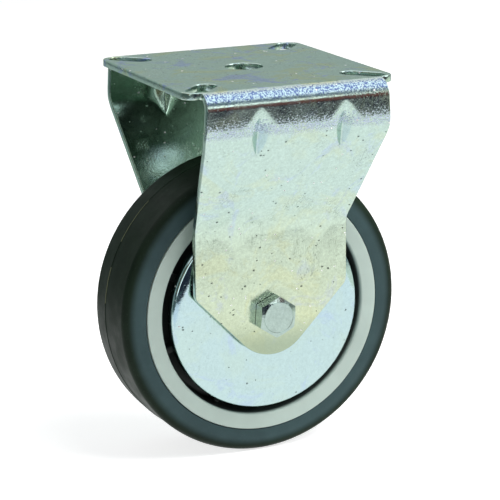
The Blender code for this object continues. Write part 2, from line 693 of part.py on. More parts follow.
def blank_triangles(run, creases):
    """Triangulates the flat blank so that every bend line and wedge edge is an edge."""
    outline, holes = blank_loops(run)
    points = []
    edges = []

    def add_line(line, closed):
        first = len(points)
        points.extend(Vector(p) / MM for p in line)
        edges.extend((first + i, first + i + 1) for i in range(len(line) - 1))
        if closed:
            edges.append((first + len(line) - 1, first))

    for loop in (outline, *holes):
        add_line(loop, True)
    stations = run.bend_lines(BEND_STEP)
    reach = max(x for x, _ in outline) + SHEET
    for sign in (1, -1):
        for s in stations:
            add_line([(-reach, sign * s), (reach, sign * s)], False)
        for crease in creases:
            for line in crease.lines(stations):
                add_line([(x, sign * s) for x, s in line], False)
    verts, _, faces, *_ = delaunay_2d_cdt(points, edges, [], 0, 1e-5)
    kept = []
    for face in faces:
        middle = sum((verts[i] for i in face), Vector((0, 0))) / len(face) * MM
        if inside_loop(middle, outline) and not any(inside_loop(middle, hole) for hole in holes):
            kept.append(face)
    return [v * MM for v in verts], kept


def bracket():
    """Pierced and folded from one flat blank, with the darts and ribs pressed in."""
    run = bracket_run()
    creases = bracket_creases(run)
    points, faces = blank_triangles(run, creases)
    bm = bmesh.new()
    used = {i for face in faces for i in face}
    verts = {i: bm.verts.new((points[i].x, points[i].y, -SHEET / 2)) for i in sorted(used)}
    flat = [bm.faces.new([verts[i] for i in face]) for face in faces]
    raised = bmesh.ops.extrude_face_region(bm, geom=flat)
    top = [v for v in raised["geom"] if isinstance(v, bmesh.types.BMVert)]
    bmesh.ops.translate(bm, verts=top, vec=(0, 0, SHEET))
    for v in bm.verts:
        x, s, n = v.co
        shift = sum(crease.height(x, abs(s)) for crease in creases)
        y, z = run.place(abs(s), n + shift)
        v.co = (x, math.copysign(y, s), z)
    bmesh.ops.recalc_face_normals(bm, faces=bm.faces)
    return make_object("bracket", bm, zinc("bracket_zinc"), None, math.radians(20))


def main():
    clear_scene()
    axle = (0, 0, AXLE_Z)
    fork = empty_at("fork_axis", axle)
    wheel = empty_at("wheel_axis", axle)
    bracket()
    tyre(wheel)
    wheel_centre(wheel)
    for prefix, sign in (("near", -1), ("far", 1)):
        ball_set = empty_at(prefix + "_ball_set_axis", axle)
        bearing(prefix, sign, fork, wheel, ball_set)
        thread_guard(prefix + "_thread_guard", fork, sign)
    spacers(fork)
    axle_bolt(fork)
    lock_nut(fork)


main()
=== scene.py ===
"""Finished surfaces and fine shapes for the fixed castor.

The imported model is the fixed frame. Each operator here makes one piece, or a group of like
pieces, in the frame's metres: X is the rolling direction, Y the axle, +Z up.
"""

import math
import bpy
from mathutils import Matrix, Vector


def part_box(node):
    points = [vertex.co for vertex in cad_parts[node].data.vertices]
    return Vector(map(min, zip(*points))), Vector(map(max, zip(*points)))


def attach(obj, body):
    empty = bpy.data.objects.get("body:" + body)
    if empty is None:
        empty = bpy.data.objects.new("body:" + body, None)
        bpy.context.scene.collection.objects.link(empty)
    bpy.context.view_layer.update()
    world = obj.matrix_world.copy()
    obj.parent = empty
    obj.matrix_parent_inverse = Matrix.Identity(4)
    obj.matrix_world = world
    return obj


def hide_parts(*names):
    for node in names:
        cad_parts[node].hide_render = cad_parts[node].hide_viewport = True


bl_info = {
    "name": "Fixed Castor",
    "version": (1, 0, 0),
    "blender": (4, 5, 0),
    "location": "3D View > Sidebar > Castor",
    "description": "Builds the castor's bracket, wheel, guards and fasteners with their finishes",
    "category": "Object",
}

import bmesh
import bpy
from bpy.props import FloatProperty, FloatVectorProperty, IntProperty, PointerProperty
from mathutils import Matrix, Vector

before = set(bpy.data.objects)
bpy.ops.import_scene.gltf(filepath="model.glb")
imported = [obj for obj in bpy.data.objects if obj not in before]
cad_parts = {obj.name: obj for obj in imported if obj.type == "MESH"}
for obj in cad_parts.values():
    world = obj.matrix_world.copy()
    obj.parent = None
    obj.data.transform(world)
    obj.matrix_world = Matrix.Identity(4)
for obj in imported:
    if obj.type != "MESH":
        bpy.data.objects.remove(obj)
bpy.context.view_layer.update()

MM = 0.001
FULL_TURN = math.tau
EVEN_BEVEL = {"affect": "EDGES", "profile": 0.5, "material": -1}
SHARP_ANGLE = math.radians(38)
# Points nearer than these are taken as one: in a turned piece, on a cut and on a fine cut
SAME_POINT = 0.0005 * MM
CUT_POINT = 0.001 * MM
FINE_POINT = 0.0001 * MM
# Parts of one piece reach this far into each other, and two clamped pieces keep this gap
OVERLAP = 0.1 * MM
CLAMP_GAP = 0.3 * MM


def high(node, axis):
    """The frame's highest place of a node along an axis."""
    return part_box(node)[1]["xyz".index(axis)]


def low(node, axis):
    """The frame's lowest place of a node along an axis."""
    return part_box(node)[0]["xyz".index(axis)]


def span(node, axis):
    """The frame's size of a node along an axis."""
    return high(node, axis) - low(node, axis)


def length(name, description, default):
    """A property that holds a length in metres."""
    return FloatProperty(name=name, description=description, default=default,
                         precision=5, unit="LENGTH")


def mm(name, description, default):
    """A property that holds a length, given here in millimetres."""
    return length(name, description, default * MM)


def colour(name, description, default):
    """A property that holds a linear colour."""
    return FloatVectorProperty(name=name, description=description, default=default,
                               subtype="COLOR", size=3, min=0.0, soft_max=1.0)


def angle(name, description, degrees):
    """A property that holds an angle."""
    return FloatProperty(name=name, description=description, default=math.radians(degrees),
                         subtype="ANGLE")


def whole(name, description, default, least):
    """A property that holds a whole number."""
    return IntProperty(name=name, description=description, default=default, min=least)


def amount(name, description, default, unit="NONE"):
    """A property that holds a plain number, or a lamp's power."""
    return FloatProperty(name=name, description=description, default=default, unit=unit)


AXLE_Z = (high("tyre", "z") + low("tyre", "z")) / 2


# Settings

class CastorBracketSettings(bpy.types.PropertyGroup):
    """Sizes of the folded bracket."""
    sheet: mm("Sheet", "Thickness of the steel", 3.0)
    width: length("Width", "Across both legs at the plate", span("bracket", "y"))
    plate_length: length("Plate length", "Over the ears, along X", span("bracket", "x"))
    top_z: length("Plate top", "Height of the plate's top face", high("bracket", "z"))
    leg_top: mm("Leg at the plate", "Width where the leg leaves the plate", 78.6)
    leg_knee: mm("Leg at the upper knee", "Width there", 80.8)
    leg_width: mm("Leg below", "Width below the lower knee", 68.4)
    leg_gap: length("Between the legs", "Inside width at the axle",
                    2 * high("far_thread_guard", "y") + 4.2 * MM)
    ear_corner: mm("Ear corner", "Corner radius of the plate's ears", 5.5)
    ear_gap: mm("Ear gap", "The ears end this far past the start of the bend", 0.3)
    ear_relief: mm("Ear relief", "Rounding where an ear meets the bend", 0.8)
    plate_bend: mm("Plate bend", "Bend radius of the sheet's middle", 5.5)
    upper_drop: mm("Upper knee", "Below the plate's middle surface", 17.0)
    upper_bend: mm("Upper knee bend", "Bend radius of the sheet's middle", 17.0)
    lower_rise: mm("Lower knee", "Above the axle", 37.9)
    lower_bend: mm("Lower knee bend", "Bend radius of the sheet's middle", 12.0)
    knee_rounding: mm("Knee rounding", "Outline radius of a leg's edge at its knees", 14.0)
    leg_corner: mm("Leg corner", "Corner radius above the pointed end", 4.0)
    leg_corner_rise: mm("Leg corner rise", "From the axle to where the point begins", 10.0)
    tip_radius: mm("Tip radius", "Round end of a leg", 17.5)
    slot_x: mm("Slot X", "Slot's middle along X", 35.4)
    slot_y: mm("Slot Y", "Slot's middle along Y", 37.6)
    slot_length: mm("Slot length", "End to end", 19.0)
    slot_width: mm("Slot width", "Across the slot", 9.1)
    hole_radius: mm("Hole radius", "Round hole in the plate's middle", 7.85)
    bore_radius: mm("Bore radius", "Hole for the axle bolt", 5.05)
    edge_round: mm("Edge rounding", "Rounding of the sheet's edges", 0.42)
    dart_spacing: mm("Dart spacing", "Between the two darts of a leg", 37.0)
    dart_shift: mm("Dart shift", "The darts sit this far off the middle", 1.9)
    dart_up: mm("Dart reach up", "Along the sheet from the knee's corner", 10.6)
    dart_down: mm("Dart reach down", "Along the sheet from the knee's corner", 9.6)
    rib_up: mm("Rib reach up", "Along the sheet from the lower knee's corner", 8.6)
    rib_down: mm("Rib reach down", "Along the sheet from the lower knee's corner", 7.4)
    dart_half: mm("Dart half width", "At the dart's deepest", 6.0)
    dart_line: mm("Dart line", "Rounding of a dart's deepest line", 0.8)
    vee_up: mm("Vee reach up", "The sharp line starts this far above the knee's corner", 7.0)
    vee_down: mm("Vee reach down", "It ends this far below the knee's corner", 11.0)
    vee_half: mm("Vee half width", "At its middle", 3.3)
    vee_depth: mm("Vee depth", "Below the dart, at its middle", 1.7)
    vee_line: mm("Vee line", "Rounding of its deepest line", 0.15)
    rib_half: mm("Rib half width", "At the rib's highest", 5.0)
    rib_line: mm("Rib line", "Rounding of a rib's highest line", 1.1)
    press_soft: mm("Press softness", "Rounding of the pressed borders", 2.2)
    bend_step: angle("Bend step", "Angle between two rows of points in a bend", 3)
    dart_step: mm("Dart step", "Distance between two rows of points in a dart", 0.7)


class CastorWheelSettings(bpy.types.PropertyGroup):
    """Sizes of the tyre and the plastic centre."""
    radius: length("Radius", "Rolling radius of the tyre", span("tyre", "z") / 2)
    rim_radius: length("Rim radius", "Outside of the plastic rim", high("wheel_centre", "x"))
    rim_width: length("Rim width", "Across the rim's two faces", span("wheel_centre", "y"))
    tread_width: mm("Tread width", "Between the tyre's shoulders", 32.0)
    tread_crown: mm("Tread crown", "Fall of the tread to its shoulders", 0.3)
    shoulder: mm("Shoulder", "Corner radius between tread and side", 3.4)
    side_inset: mm("Side inset", "The side lies this far inside the rim's face", 0.4)
    side_bulge: mm("Side bulge", "The side's middle stands out by this much", 0.25)
    seam_offset: mm("Seam offset", "Mould seam's place on the tread", 4.0)
    seam_height: mm("Seam height", "Of the mould seam", 0.25)
    seam_width: mm("Seam width", "Of the mould seam", 0.8)
    ring_width: mm("Ring width", "The rim's visible face", 6.6)
    ring_edge: mm("Ring edge", "Rounding of the rim's inner edge", 0.9)
    flange: mm("Flange", "Width of the lip that holds the tyre", 1.6)
    groove: mm("Groove", "Depth of the tyre's bed", 1.8)
    draft: mm("Draft", "The pocket narrows by this much down to the web", 0.9)
    web: mm("Web", "Thickness of the web", 5.0)
    hub_bore: mm("Hub bore", "Radius of the bearings' seats", 15.15)
    hub_wall: mm("Hub wall", "Plastic round the bearings", 4.4)
    hub_shoulder: mm("Hub shoulder", "Stop behind each bearing", 2.6)
    rib_count: whole("Ribs", "Number of ribs on each side", 8, 3)
    rib_thickness: mm("Rib thickness", "Of each rib", 3.0)
    rib_setback: mm("Rib setback", "The ribs end this far inside the rim's face", 11.0)
    rib_round: mm("Rib rounding", "Of the ribs' edges", 0.5)
    web_fillet: mm("Web fillet", "Where the web meets the rim and the hub", 1.2)
    seat: mm("Seat", "Gap between two faces that bear on each other", 0.3)
    segments: whole("Segments", "Steps of a full turn", 176, 24)


class CastorBearingSettings(bpy.types.PropertyGroup):
    """Sizes of the ball bearings' outer rings."""
    pitch: mm("Pitch radius", "From the axle to the balls' middles", 10.025)
    groove: mm("Groove radius", "A ball's radius and its play", 2.53)
    race_depth: mm("Race depth", "Of the groove under the ring's shoulder", 0.85)
    shield_grip: mm("Shield step", "How deep each shield's step is cut", 0.7)
    shield_seat: mm("Shield seat", "From the ring's middle to each step", 3.7)
    race_steps: whole("Race steps", "Rows of faces across the groove", 16, 4)
    segments: whole("Segments", "Faces round the ring", 96, 24)


class CastorGuardSettings(bpy.types.PropertyGroup):
    """Sizes of the thread guards."""
    radius: length("Radius", "Outside of the turned edge", high("near_thread_guard", "x"))
    face: length("Face", "From the wheel's middle", high("far_thread_guard", "y"))
    depth: length("Depth", "Of the turned edge", span("far_thread_guard", "y"))
    sheet: mm("Sheet", "Thickness of the sheet", 1.0)
    shoulder: mm("Shoulder", "Inside radius of the turned edge", 3.6)
    slope_width: mm("Slope width", "Of the sloping part before the turned edge", 3.0)
    slope_round: mm("Slope rounding", "Between the face and the sloping part", 8.0)
    edge_round: mm("Edge rounding", "Between the sloping part and the turned edge", 2.2)
    dish: mm("Dish", "The pressed centre lies this far inside the face", 3.0)
    dish_radius: mm("Dish radius", "Flat part of the pressed centre", 8.7)
    dish_round: mm("Dish rounding", "Where the dish meets the face", 1.6)


class CastorAxleSettings(bpy.types.PropertyGroup):
    """Sizes of the bolt, the nut and what is threaded on the bolt."""
    bolt_radius: mm("Bolt radius", "Of the shank", 4.9)
    bore_radius: mm("Bore radius", "Of the rings on the shank", 5.05)
    across_flats: mm("Across flats", "Of the head and the nut", 15.2)
    head_top: length("Head face", "Place of the head's face", low("axle_bolt", "y"))
    face_groove: mm("Face groove", "Depth of the fine ring round the head's face", 0.10)
    head_turn: angle("Head turn", "Where the bolt happened to stop", 4.4)
    nut_turn: angle("Nut turn", "Where the nut happened to stop", 11)
    chamfer: mm("Chamfer", "From a flat to the edge of the round end face", 1.05)
    chamfer_rise: mm("Chamfer rise", "Fall of the chamfer at a flat", 0.38)
    thread_pitch: mm("Thread pitch", "Of the bolt's end", 1.5)
    thread_depth: mm("Thread depth", "Of the bolt's end", 0.8)
    nut_hex: mm("Nut height", "Of its hexagon", 8.0)
    collar_step: mm("Collar step", "The collar is smaller than the hexagon by this", 0.7)
    collar_wall: mm("Collar wall", "Round the nylon ring", 0.8)
    collar_lip: mm("Collar lip", "Crimped edge over the nylon ring", 0.5)
    segments: whole("Segments", "Steps of a full turn", 96, 24)


class CastorFinishSettings(bpy.types.PropertyGroup):
    """Colours of the finishes."""
    zinc: colour("Zinc", "Plating on the bracket", (0.53, 0.67, 0.61))
    zinc_warm: colour("Warm bloom", "Yellowish patches of the plating", (0.60, 0.66, 0.42))
    zinc_cool: colour("Cool bloom", "Violet-blue patches of the plating", (0.42, 0.50, 0.80))
    zinc_speck: colour("Specks", "Dirt and pits in the plating", (0.10, 0.12, 0.12))
    guard: colour("Guard zinc", "Plating on the thread guards", (0.50, 0.66, 0.71))
    fastener: colour("Fastener zinc", "Plating on bolt and nut", (0.42, 0.53, 0.50))
    rubber: colour("Rubber", "The tyre's sides", (0.046, 0.082, 0.087))
    tread: colour("Tread", "The tyre's rolling face", (0.007, 0.016, 0.008))
    plastic: colour("Plastic", "The wheel's centre", (0.54, 0.66, 0.60))
    nylon_ring: colour("Nylon ring", "In the nut", (0.10, 0.22, 0.45))
    bearing: colour("Bearing steel", "Rings and balls", (0.52, 0.53, 0.55))
    cage: colour("Cage nylon", "In the bearings", (0.55, 0.45, 0.28))


class CastorStudioSettings(bpy.types.PropertyGroup):
    """Camera, lamps and floor."""
    azimuth: angle("Azimuth", "Camera's angle round the castor", -24.46)
    elevation: angle("Elevation", "Camera's angle above the floor", 14.66)
    roll: angle("Roll", "Tilt of the picture", -0.55)
    distance: mm("Distance", "From the wheel's middle", 940.6)
    aside: mm("Aside", "Camera's shift to the right", 1.59)
    above: mm("Above", "Camera's shift upwards", 20.46)
    lens: amount("Lens", "Focal length in millimetres", 159.97)
    floor_size: length("Floor", "Width of the floor", 8.0)
    floor_tone: colour("Floor colour", "Pale floor", (0.80, 0.80, 0.80))
    floor_glow: amount("Floor glow", "Added for the rays that show the background", 0.70)
    # From here to the right wall: what the reflections alone show
    table_front: length("Table in front", "A white table reaches this far in front", 0.52)
    table_back: length("Table behind", "It reaches this far behind", 0.25)
    dark: colour("Dark", "Level of the room in front", (0.017, 0.022, 0.038))
    rail: colour("Rail", "Brown rail in front", (0.17, 0.045, 0.04))
    rail_height: length("Rail height", "Of the brown rail in front", 1.20)
    rail_start: length("Rail start", "The rail begins here along X", 0.55)
    dim: colour("Dim", "Level of the wall in front", (0.18, 0.24, 0.28))
    dim_height: length("Dim height", "Of the wall in front", 2.9)
    window: colour("Window", "Window at the left", (1.5, 1.6, 1.6))
    high_window: colour("High window", "Window over the camera", (2.9, 3.0, 3.0))
    door: colour("Door", "Door at the left", (0.16, 0.12, 0.055))
    ceiling: colour("Ceiling", "Level above", (1.15, 1.30, 1.45))
    table: colour("Table", "White part of the table", (1.14, 1.17, 1.17))
    left_cloth: colour("Left cloth", "Blue-grey part of the table", (0.91, 0.99, 1.10))
    cloth_left: length("Left cloth's edge", "It begins this far from the middle", -0.13)
    right_cloth: colour("Right cloth", "Olive part of the table", (0.90, 0.96, 0.80))
    cloth_right: length("Right cloth's edge", "It begins this far from the middle", 0.33)
    grey: colour("Grey", "Level of the room behind", (0.36, 0.44, 0.41))
    grey_height: length("Grey height", "Of the grey room behind", 1.1)
    left: colour("Left", "Level of the room at the left", (0.08, 0.12, 0.12))
    left_height: length("Left height", "Of the room at the left", 1.3)
    table_left: length("Table at the left", "The white table reaches this far", 0.40)
    right: colour("Right", "Level of the room at the right", (0.22, 0.26, 0.25))
    right_height: length("Right height", "Of the room at the right", 1.0)
    # Lamps
    camera_power: amount("Camera lamp", "Power of the lamp over the camera", 0.2, "POWER")
    world_level: amount("Surroundings", "Strength of the room's light", 0.22)
    key_power: amount("Key lamp", "Power of the lamp above", 13.0, "POWER")
    fill_power: amount("Fill lamp", "Power of the lamp at the side", 4.5, "POWER")


# Materials

# Heights of the bracket between which each tone comes in
WARM_DOWN = (0.10, 0.035)
PLATE_FACE = (0.157, 0.161)
LOWER_LEG = (0.115, 0.090)
LEG_TIP = (0.062, 0.048)


def toned(base, factor):
    """A colour made darker or lighter."""
    return [min(1.0, level * factor) for level in base]


class Finish:
    """A material's nodes, with one short call for each kind of node."""

    def __init__(self, name):
        self.mat = bpy.data.materials.new(name)
        self.mat.use_nodes = True
        self.tree = self.mat.node_tree
        self.shader = self.tree.nodes["Principled BSDF"]
        self.place = self.add("ShaderNodeTexCoord").outputs["Object"]

    def add(self, kind, inputs=None, **settings):
        """Adds a node with its settings, and links or sets its inputs."""
        node = self.tree.nodes.new(kind)
        for key, value in settings.items():
            setattr(node, key, value)
        for key, value in (inputs or {}).items():
            self.put(node.inputs[key], value)
        return node

    def put(self, socket, value):
        """Links a socket to another's output, or sets its own value."""
        if isinstance(value, bpy.types.NodeSocket):
            self.tree.links.new(value, socket)
        elif socket.type == "RGBA" and len(value) == 3:
            socket.default_value = (*value, 1.0)
        else:
            socket.default_value = value

    def scaled(self, scale, offset=(0, 0, 0), turn=(0, 0, 0)):
        """Object coordinates, stretched by scale per axis."""
        node = self.add("ShaderNodeMapping", {"Vector": self.place, "Scale": scale,
                                              "Location": offset, "Rotation": turn})
        return node.outputs["Vector"]

    def parts(self):
        """Object coordinates as X, Y and Z."""
        return self.add("ShaderNodeSeparateXYZ", {"Vector": self.place}).outputs

    def noise(self, scale, vector=None, detail=3.0, roughness=0.55, distortion=0.0):
        """Cloudy values round 0.5."""
        node = self.add("ShaderNodeTexNoise", {"Vector": vector or self.place, "Scale": scale,
                                               "Detail": detail, "Roughness": roughness,
                                               "Distortion": distortion})
        return node.outputs["Fac"]

    def ramp(self, fac, low, high, to_low=0.0, to_high=1.0):
        """Stretches a value so that low..high becomes to_low..to_high, smoothly."""
        node = self.add("ShaderNodeMapRange", {"Value": fac, "From Min": low, "From Max": high,
                                               "To Min": to_low, "To Max": to_high},
                        interpolation_type="SMOOTHSTEP", clamp=True)
        return node.outputs["Result"]

    def band(self, value, start, full_from, full_to, stop):
        """1 from full_from to full_to, and 0 before start and after stop."""
        return self.times(self.ramp(value, start, full_from), self.ramp(value, stop, full_to))

    def maths(self, operation, first, *others):
        """Works out one operation, over and over where there are several values."""
        for other in others or (0.0,):
            node = self.add("ShaderNodeMath", {0: first, 1: other}, operation=operation)
            first = node.outputs[0]
        return first

    def plus(self, *values):
        return self.maths("ADD", *values)

    def minus(self, *values):
        return self.maths("SUBTRACT", *values)

    def times(self, *values):
        return self.maths("MULTIPLY", *values)

    def most(self, *values):
        return self.maths("MAXIMUM", *values)

    def off(self, value, middle):
        """How far a value is from a middle, to either side."""
        return self.maths("ABSOLUTE", self.minus(value, middle))

    def mix(self, fac, a, b, blend="MIX"):
        """Mixes two colours, or multiplies the first by the second."""
        node = self.add("ShaderNodeMix", data_type="RGBA", blend_type=blend)
        self.put(node.inputs["Factor"], fac)
        self.put(node.inputs["A"], a)
        self.put(node.inputs["B"], b)
        return node.outputs["Result"]

    def grey(self, value):
        """A colour of three equal values."""
        return self.add("ShaderNodeCombineColor", {0: value, 1: value, 2: value}).outputs[0]

    def bump(self, height, distance, strength):
        """A normal that is tilted by a height."""
        inputs = {"Height": height, "Distance": distance, "Strength": strength}
        return self.add("ShaderNodeBump", inputs).outputs["Normal"]

    def attribute(self, name):
        """A value that the mesh holds at each point."""
        node = self.add("ShaderNodeAttribute", attribute_name=name, attribute_type="GEOMETRY")
        return node.outputs["Fac"]

    def set(self, **inputs):
        """Sets or links the Principled shader's sockets; underscores stand for spaces."""
        for key, value in inputs.items():
            self.put(self.shader.inputs[key.replace("_", " ")], value)
        return self.mat


def folded_marks(f, height, tone, rough, peel):
    """What a folded sheet adds to its plating: crazed bends, painted glints, painted inner shade
    and a painted dark outline.
    """
    place = f.attribute("sheet_zone")
    depth = f.attribute("sheet_depth")
    # Painted shade: the sheet's inner side is darker and greener
    inner = f.ramp(depth, 0.10, 0.02)
    outer = f.ramp(depth, 0.6, 0.9)
    tone = f.mix(f.times(inner, 0.75), tone, (0.30, 0.42, 0.33))
    # The round of the bend is crazed with violet-blue, and the straight part under it has painted
    # glints
    crazed = f.times(f.band(place, 0.08, 0.35, 0.62, 0.82), outer)
    craze = f.ramp(f.noise(1600, f.scaled((1, 0.7, 0.7)), 4, 0.75), 0.46, 0.53)
    tone = f.mix(crazed, tone, f.mix(craze, (0.15, 0.21, 0.40), (0.62, 0.74, 0.72)))
    coarse = f.noise(1350, f.scaled((0.8, 1, 1.3)), 4, 0.75)
    least = f.ramp(place, 1.2, 2.35, 0.65, 0.48)
    glint = f.ramp(f.minus(coarse, least), 0.0, 0.03)
    glint = f.times(glint, f.band(place, 0.92, 0.98, 2.2, 2.6), outer)
    # The painted glints are pale, rough and less metallic specks
    rough = f.mix(f.times(glint, 0.7), f.grey(rough), (0.7, 0.7, 0.7))
    tone = f.mix(glint, tone, (0.62, 0.72, 0.86))
    peel = f.plus(peel, f.times(f.plus(crazed, glint), coarse, 0.9))
    tone = f.mix(f.ramp(height, *LOWER_LEG), tone, (1.10, 1.03, 0.91), "MULTIPLY")
    # Painted dark reflection: the rounded outline of the legs is darker than their faces
    outline = f.times(f.band(depth, 0.80, 0.88, 0.92, 0.985), f.ramp(place, 0.9, 1.1))
    tone = f.mix(f.times(outline, 0.7), tone, (0.16, 0.22, 0.21))
    tone = f.mix(f.times(f.ramp(height, *LEG_TIP), 0.8), tone, (0.34, 0.42, 0.31))
    return tone, rough, peel, glint


def zinc(name, base, warm, colours, bloom, scratch=1.0, grain=1.0, shine=0.17, folded=False):
    """Bright zinc plating: soft colour patches, orange peel, scratches, specks and pale chips."""
    f = Finish(name)
    height = f.parts()["Z"]
    warm_patch = f.ramp(f.noise(46, detail=5, roughness=0.65, distortion=0.9), 0.48, 0.62)
    warm_patch = f.plus(warm_patch, f.times(f.ramp(height, *WARM_DOWN), 1.5))
    elsewhere = f.scaled((1, 1, 1), (0.31, 0.17, 0.05))
    cool_patch = f.ramp(f.noise(60, elsewhere, 5, 0.65, 1.2), 0.53, 0.66)
    on_top = f.ramp(height, *PLATE_FACE, 0.2 * bloom, 0.62 * bloom)
    tone = f.mix(f.times(warm_patch, on_top), base, warm)
    tone = f.mix(f.times(cool_patch, on_top), tone, colours.zinc_cool)
    mottle = f.noise(700, detail=5, roughness=0.8)
    mottle = f.ramp(mottle, 0.25, 0.75, 1 - 0.15 * grain, 1 + 0.10 * grain)
    tone = f.mix(1.0, tone, f.grey(mottle), "MULTIPLY")
    # Specks: a few of many small cells have one, more of them in some places, in mixed sizes
    crowd = f.ramp(f.noise(22, detail=3), 0.40, 0.68, 0.0, 0.13)
    cells = f.add("ShaderNodeTexVoronoi", {"Vector": f.scaled((1, 1, 1.3)), "Scale": 740}).outputs
    pick = f.add("ShaderNodeSeparateColor", {"Color": cells["Color"]}).outputs
    size = f.ramp(f.maths("POWER", pick[2], 3.0), 0.0, 1.0, 0.14, 0.50)
    chosen = f.times(f.ramp(f.plus(pick[0], crowd), 0.93, 0.94), size)
    edge = f.plus(cells["Distance"], f.times(f.noise(3200, detail=2), 0.5))
    specks = f.ramp(f.minus(f.plus(chosen, 0.12), edge), -0.10, 0.06, 0.0, 0.8)
    tone = f.mix(specks, tone, colours.zinc_speck)
    chips = f.times(f.ramp(pick[1], 0.989, 0.991), f.ramp(cells["Distance"], 0.42, 0.30))
    # Scratches: thin level lines of stretched noise, broken up by a second noise
    lines = []
    for turn, stretch in ((0.5, 9), (-0.9, 14), (1.4, 7), (2.3, 10)):
        vector = f.scaled((stretch, stretch, 1), (turn, turn, 0), (0, turn, 0.3 * turn))
        lines.append(f.ramp(f.off(f.noise(28, vector, detail=2.5), 0.5), 0.0045, 0.0))
    broken = f.ramp(f.noise(60, detail=2), 0.55, 0.64)
    scratches = f.times(f.most(*lines), broken, scratch)
    tone = f.mix(f.times(scratches, 0.55), tone, (0.20, 0.23, 0.22))
    rough = f.ramp(f.noise(90, detail=5, roughness=0.7), 0.3, 0.7, shine * 0.8, shine * 1.5)
    rough = f.plus(rough, f.times(specks, 0.4))
    peel = f.times(f.noise(1000, detail=3, roughness=0.6), 0.6 * grain)
    dull = chips
    if folded:
        tone, rough, peel, glint = folded_marks(f, height, tone, rough, peel)
        dull = f.most(chips, f.times(glint, 0.6))
    relief = f.plus(peel, f.times(f.noise(170, detail=2), 0.6))
    relief = f.minus(relief, f.times(scratches, 0.4), f.times(specks, 0.6))
    tone = f.mix(chips, tone, (0.95, 0.95, 0.95))
    return f.set(Base_Color=tone, Metallic=f.minus(1.0, dull), Roughness=rough,
                 Normal=f.bump(relief, 0.10 * MM, 0.75))


def axle_radius(f):
    """Distance from the axle at each point of a piece."""
    from_axle = f.scaled((1, 1, 1), (0, 0, -AXLE_Z))
    flat = f.add("ShaderNodeVectorMath", {0: from_axle, 1: (1, 0, 1)}, operation="MULTIPLY")
    flat = f.add("ShaderNodeVectorMath", {0: flat.outputs["Vector"]}, operation="LENGTH")
    return flat.outputs["Value"]


def rubber(colours, radius, seam):
    """Moulded rubber: matt, uneven and dusty, with a darker rolling face and flash at its seam."""
    f = Finish("tyre_rubber")
    patches = f.noise(40, detail=5, roughness=0.65)
    side = f.mix(f.ramp(patches, 0.35, 0.75), colours.rubber, toned(colours.rubber, 1.3))
    worn = f.mix(f.ramp(patches, 0.4, 0.7), colours.tread, toned(colours.tread, 1.6))
    away = axle_radius(f)
    tone = f.mix(f.ramp(away, radius - 6.0 * MM, radius - 2.0 * MM), side, worn)
    place = f.parts()
    around = f.maths("ARCTAN2", f.minus(place["Z"], AXLE_Z), f.times(place["X"], -1.0))
    # The flash shows on four stretches of the seam: the middle and the half of each, as angles
    stretches = []
    for middle, half in ((0.20, 0.12), (0.67, 0.16), (2.35, 0.20), (-1.90, 0.14)):
        stretches.append(f.ramp(f.off(around, middle), half + 0.008, half))
    flash = f.times(f.ramp(f.off(place["Y"], seam), 0.38 * MM, 0.22 * MM), f.most(*stretches),
                    f.ramp(away, radius - 3 * MM, radius - 2 * MM))
    tone = f.mix(flash, tone, (0.20, 0.22, 0.13))
    dust = f.ramp(f.noise(1500, detail=2), 0.62, 0.8)
    tone = f.mix(f.times(dust, 0.25), tone, (0.10, 0.12, 0.11))
    rough = f.ramp(f.noise(110, detail=4), 0.3, 0.7, 0.42, 0.56)
    height = f.plus(f.noise(1400, detail=3), f.times(f.noise(160, detail=2), 1.2))
    return f.set(Base_Color=tone, Roughness=rough, Specular_IOR_Level=0.13,
                 Normal=f.bump(height, 0.05 * MM, 0.5))


def moulded(name, base, rough_low, rough_high, shade_depth=0.0):
    """Moulded plastic: faint flow marks, a fine skin, and painted shade deeper in than the given
    depth from the middle.
    """
    f = Finish(name)
    flow = f.noise(30, detail=4, roughness=0.6)
    tone = f.mix(f.ramp(flow, 0.3, 0.75), toned(base, 0.93), toned(base, 1.07))
    dust = f.ramp(f.noise(1300, detail=2), 0.66, 0.8)
    tone = f.mix(f.times(dust, 0.18), tone, toned(base, 0.5))
    if shade_depth:
        # Painted shade: the plastic darkens deeper in towards the wheel's middle, inside its pocket
        off_middle = f.maths("ABSOLUTE", f.parts()["Y"])
        unshaded = f.ramp(off_middle, shade_depth - 2.0 * MM, shade_depth)
        tone = f.mix(unshaded, toned(base, 0.10), tone)
    rough = f.ramp(f.noise(90, detail=4), 0.3, 0.7, rough_low, rough_high)
    height = f.plus(f.times(f.noise(1100, detail=2), 0.5), f.noise(140, detail=2))
    return f.set(Base_Color=tone, Roughness=rough, Normal=f.bump(height, 0.04 * MM, 0.4))


def ground_steel(name, base, shine):
    """Turned or ground steel: fine rings round the axle."""
    f = Finish(name)
    rings = f.noise(60, f.scaled((1, 40, 1)), detail=3)
    tone = f.mix(f.ramp(rings, 0.3, 0.7), toned(base, 0.9), toned(base, 1.1))
    rough = f.ramp(f.noise(300, detail=3), 0.3, 0.7, shine, shine * 1.6)
    return f.set(Base_Color=tone, Metallic=1.0, Roughness=rough,
                 Normal=f.bump(rings, 0.01 * MM, 0.4))


# Shapes

def rounded(corners, step, closed=True):
    """Replaces each corner (u, v, radius) of an outline with an arc of that radius."""
    points = []
    last = len(corners) - 1
    for i, (u, v, radius) in enumerate(corners):
        here = Vector((u, v))
        if radius <= 0 or (not closed and i in (0, last)):
            points.append(here)
            continue
        before = (Vector(corners[i - 1][:2]) - here).normalized()
        after = (Vector(corners[(i + 1) % len(corners)][:2]) - here).normalized()
        opening = before.angle(after)
        reach = radius / math.tan(opening / 2)
        centre = here + (before + after).normalized() * (radius / math.sin(opening / 2))
        start = here + before * reach - centre
        turn = start.angle_signed(here + after * reach - centre)
        count = max(1, math.ceil(abs(turn) / step))
        points += [centre + Matrix.Rotation(-turn * k / count, 2) @ start for k in range(count + 1)]
    return points


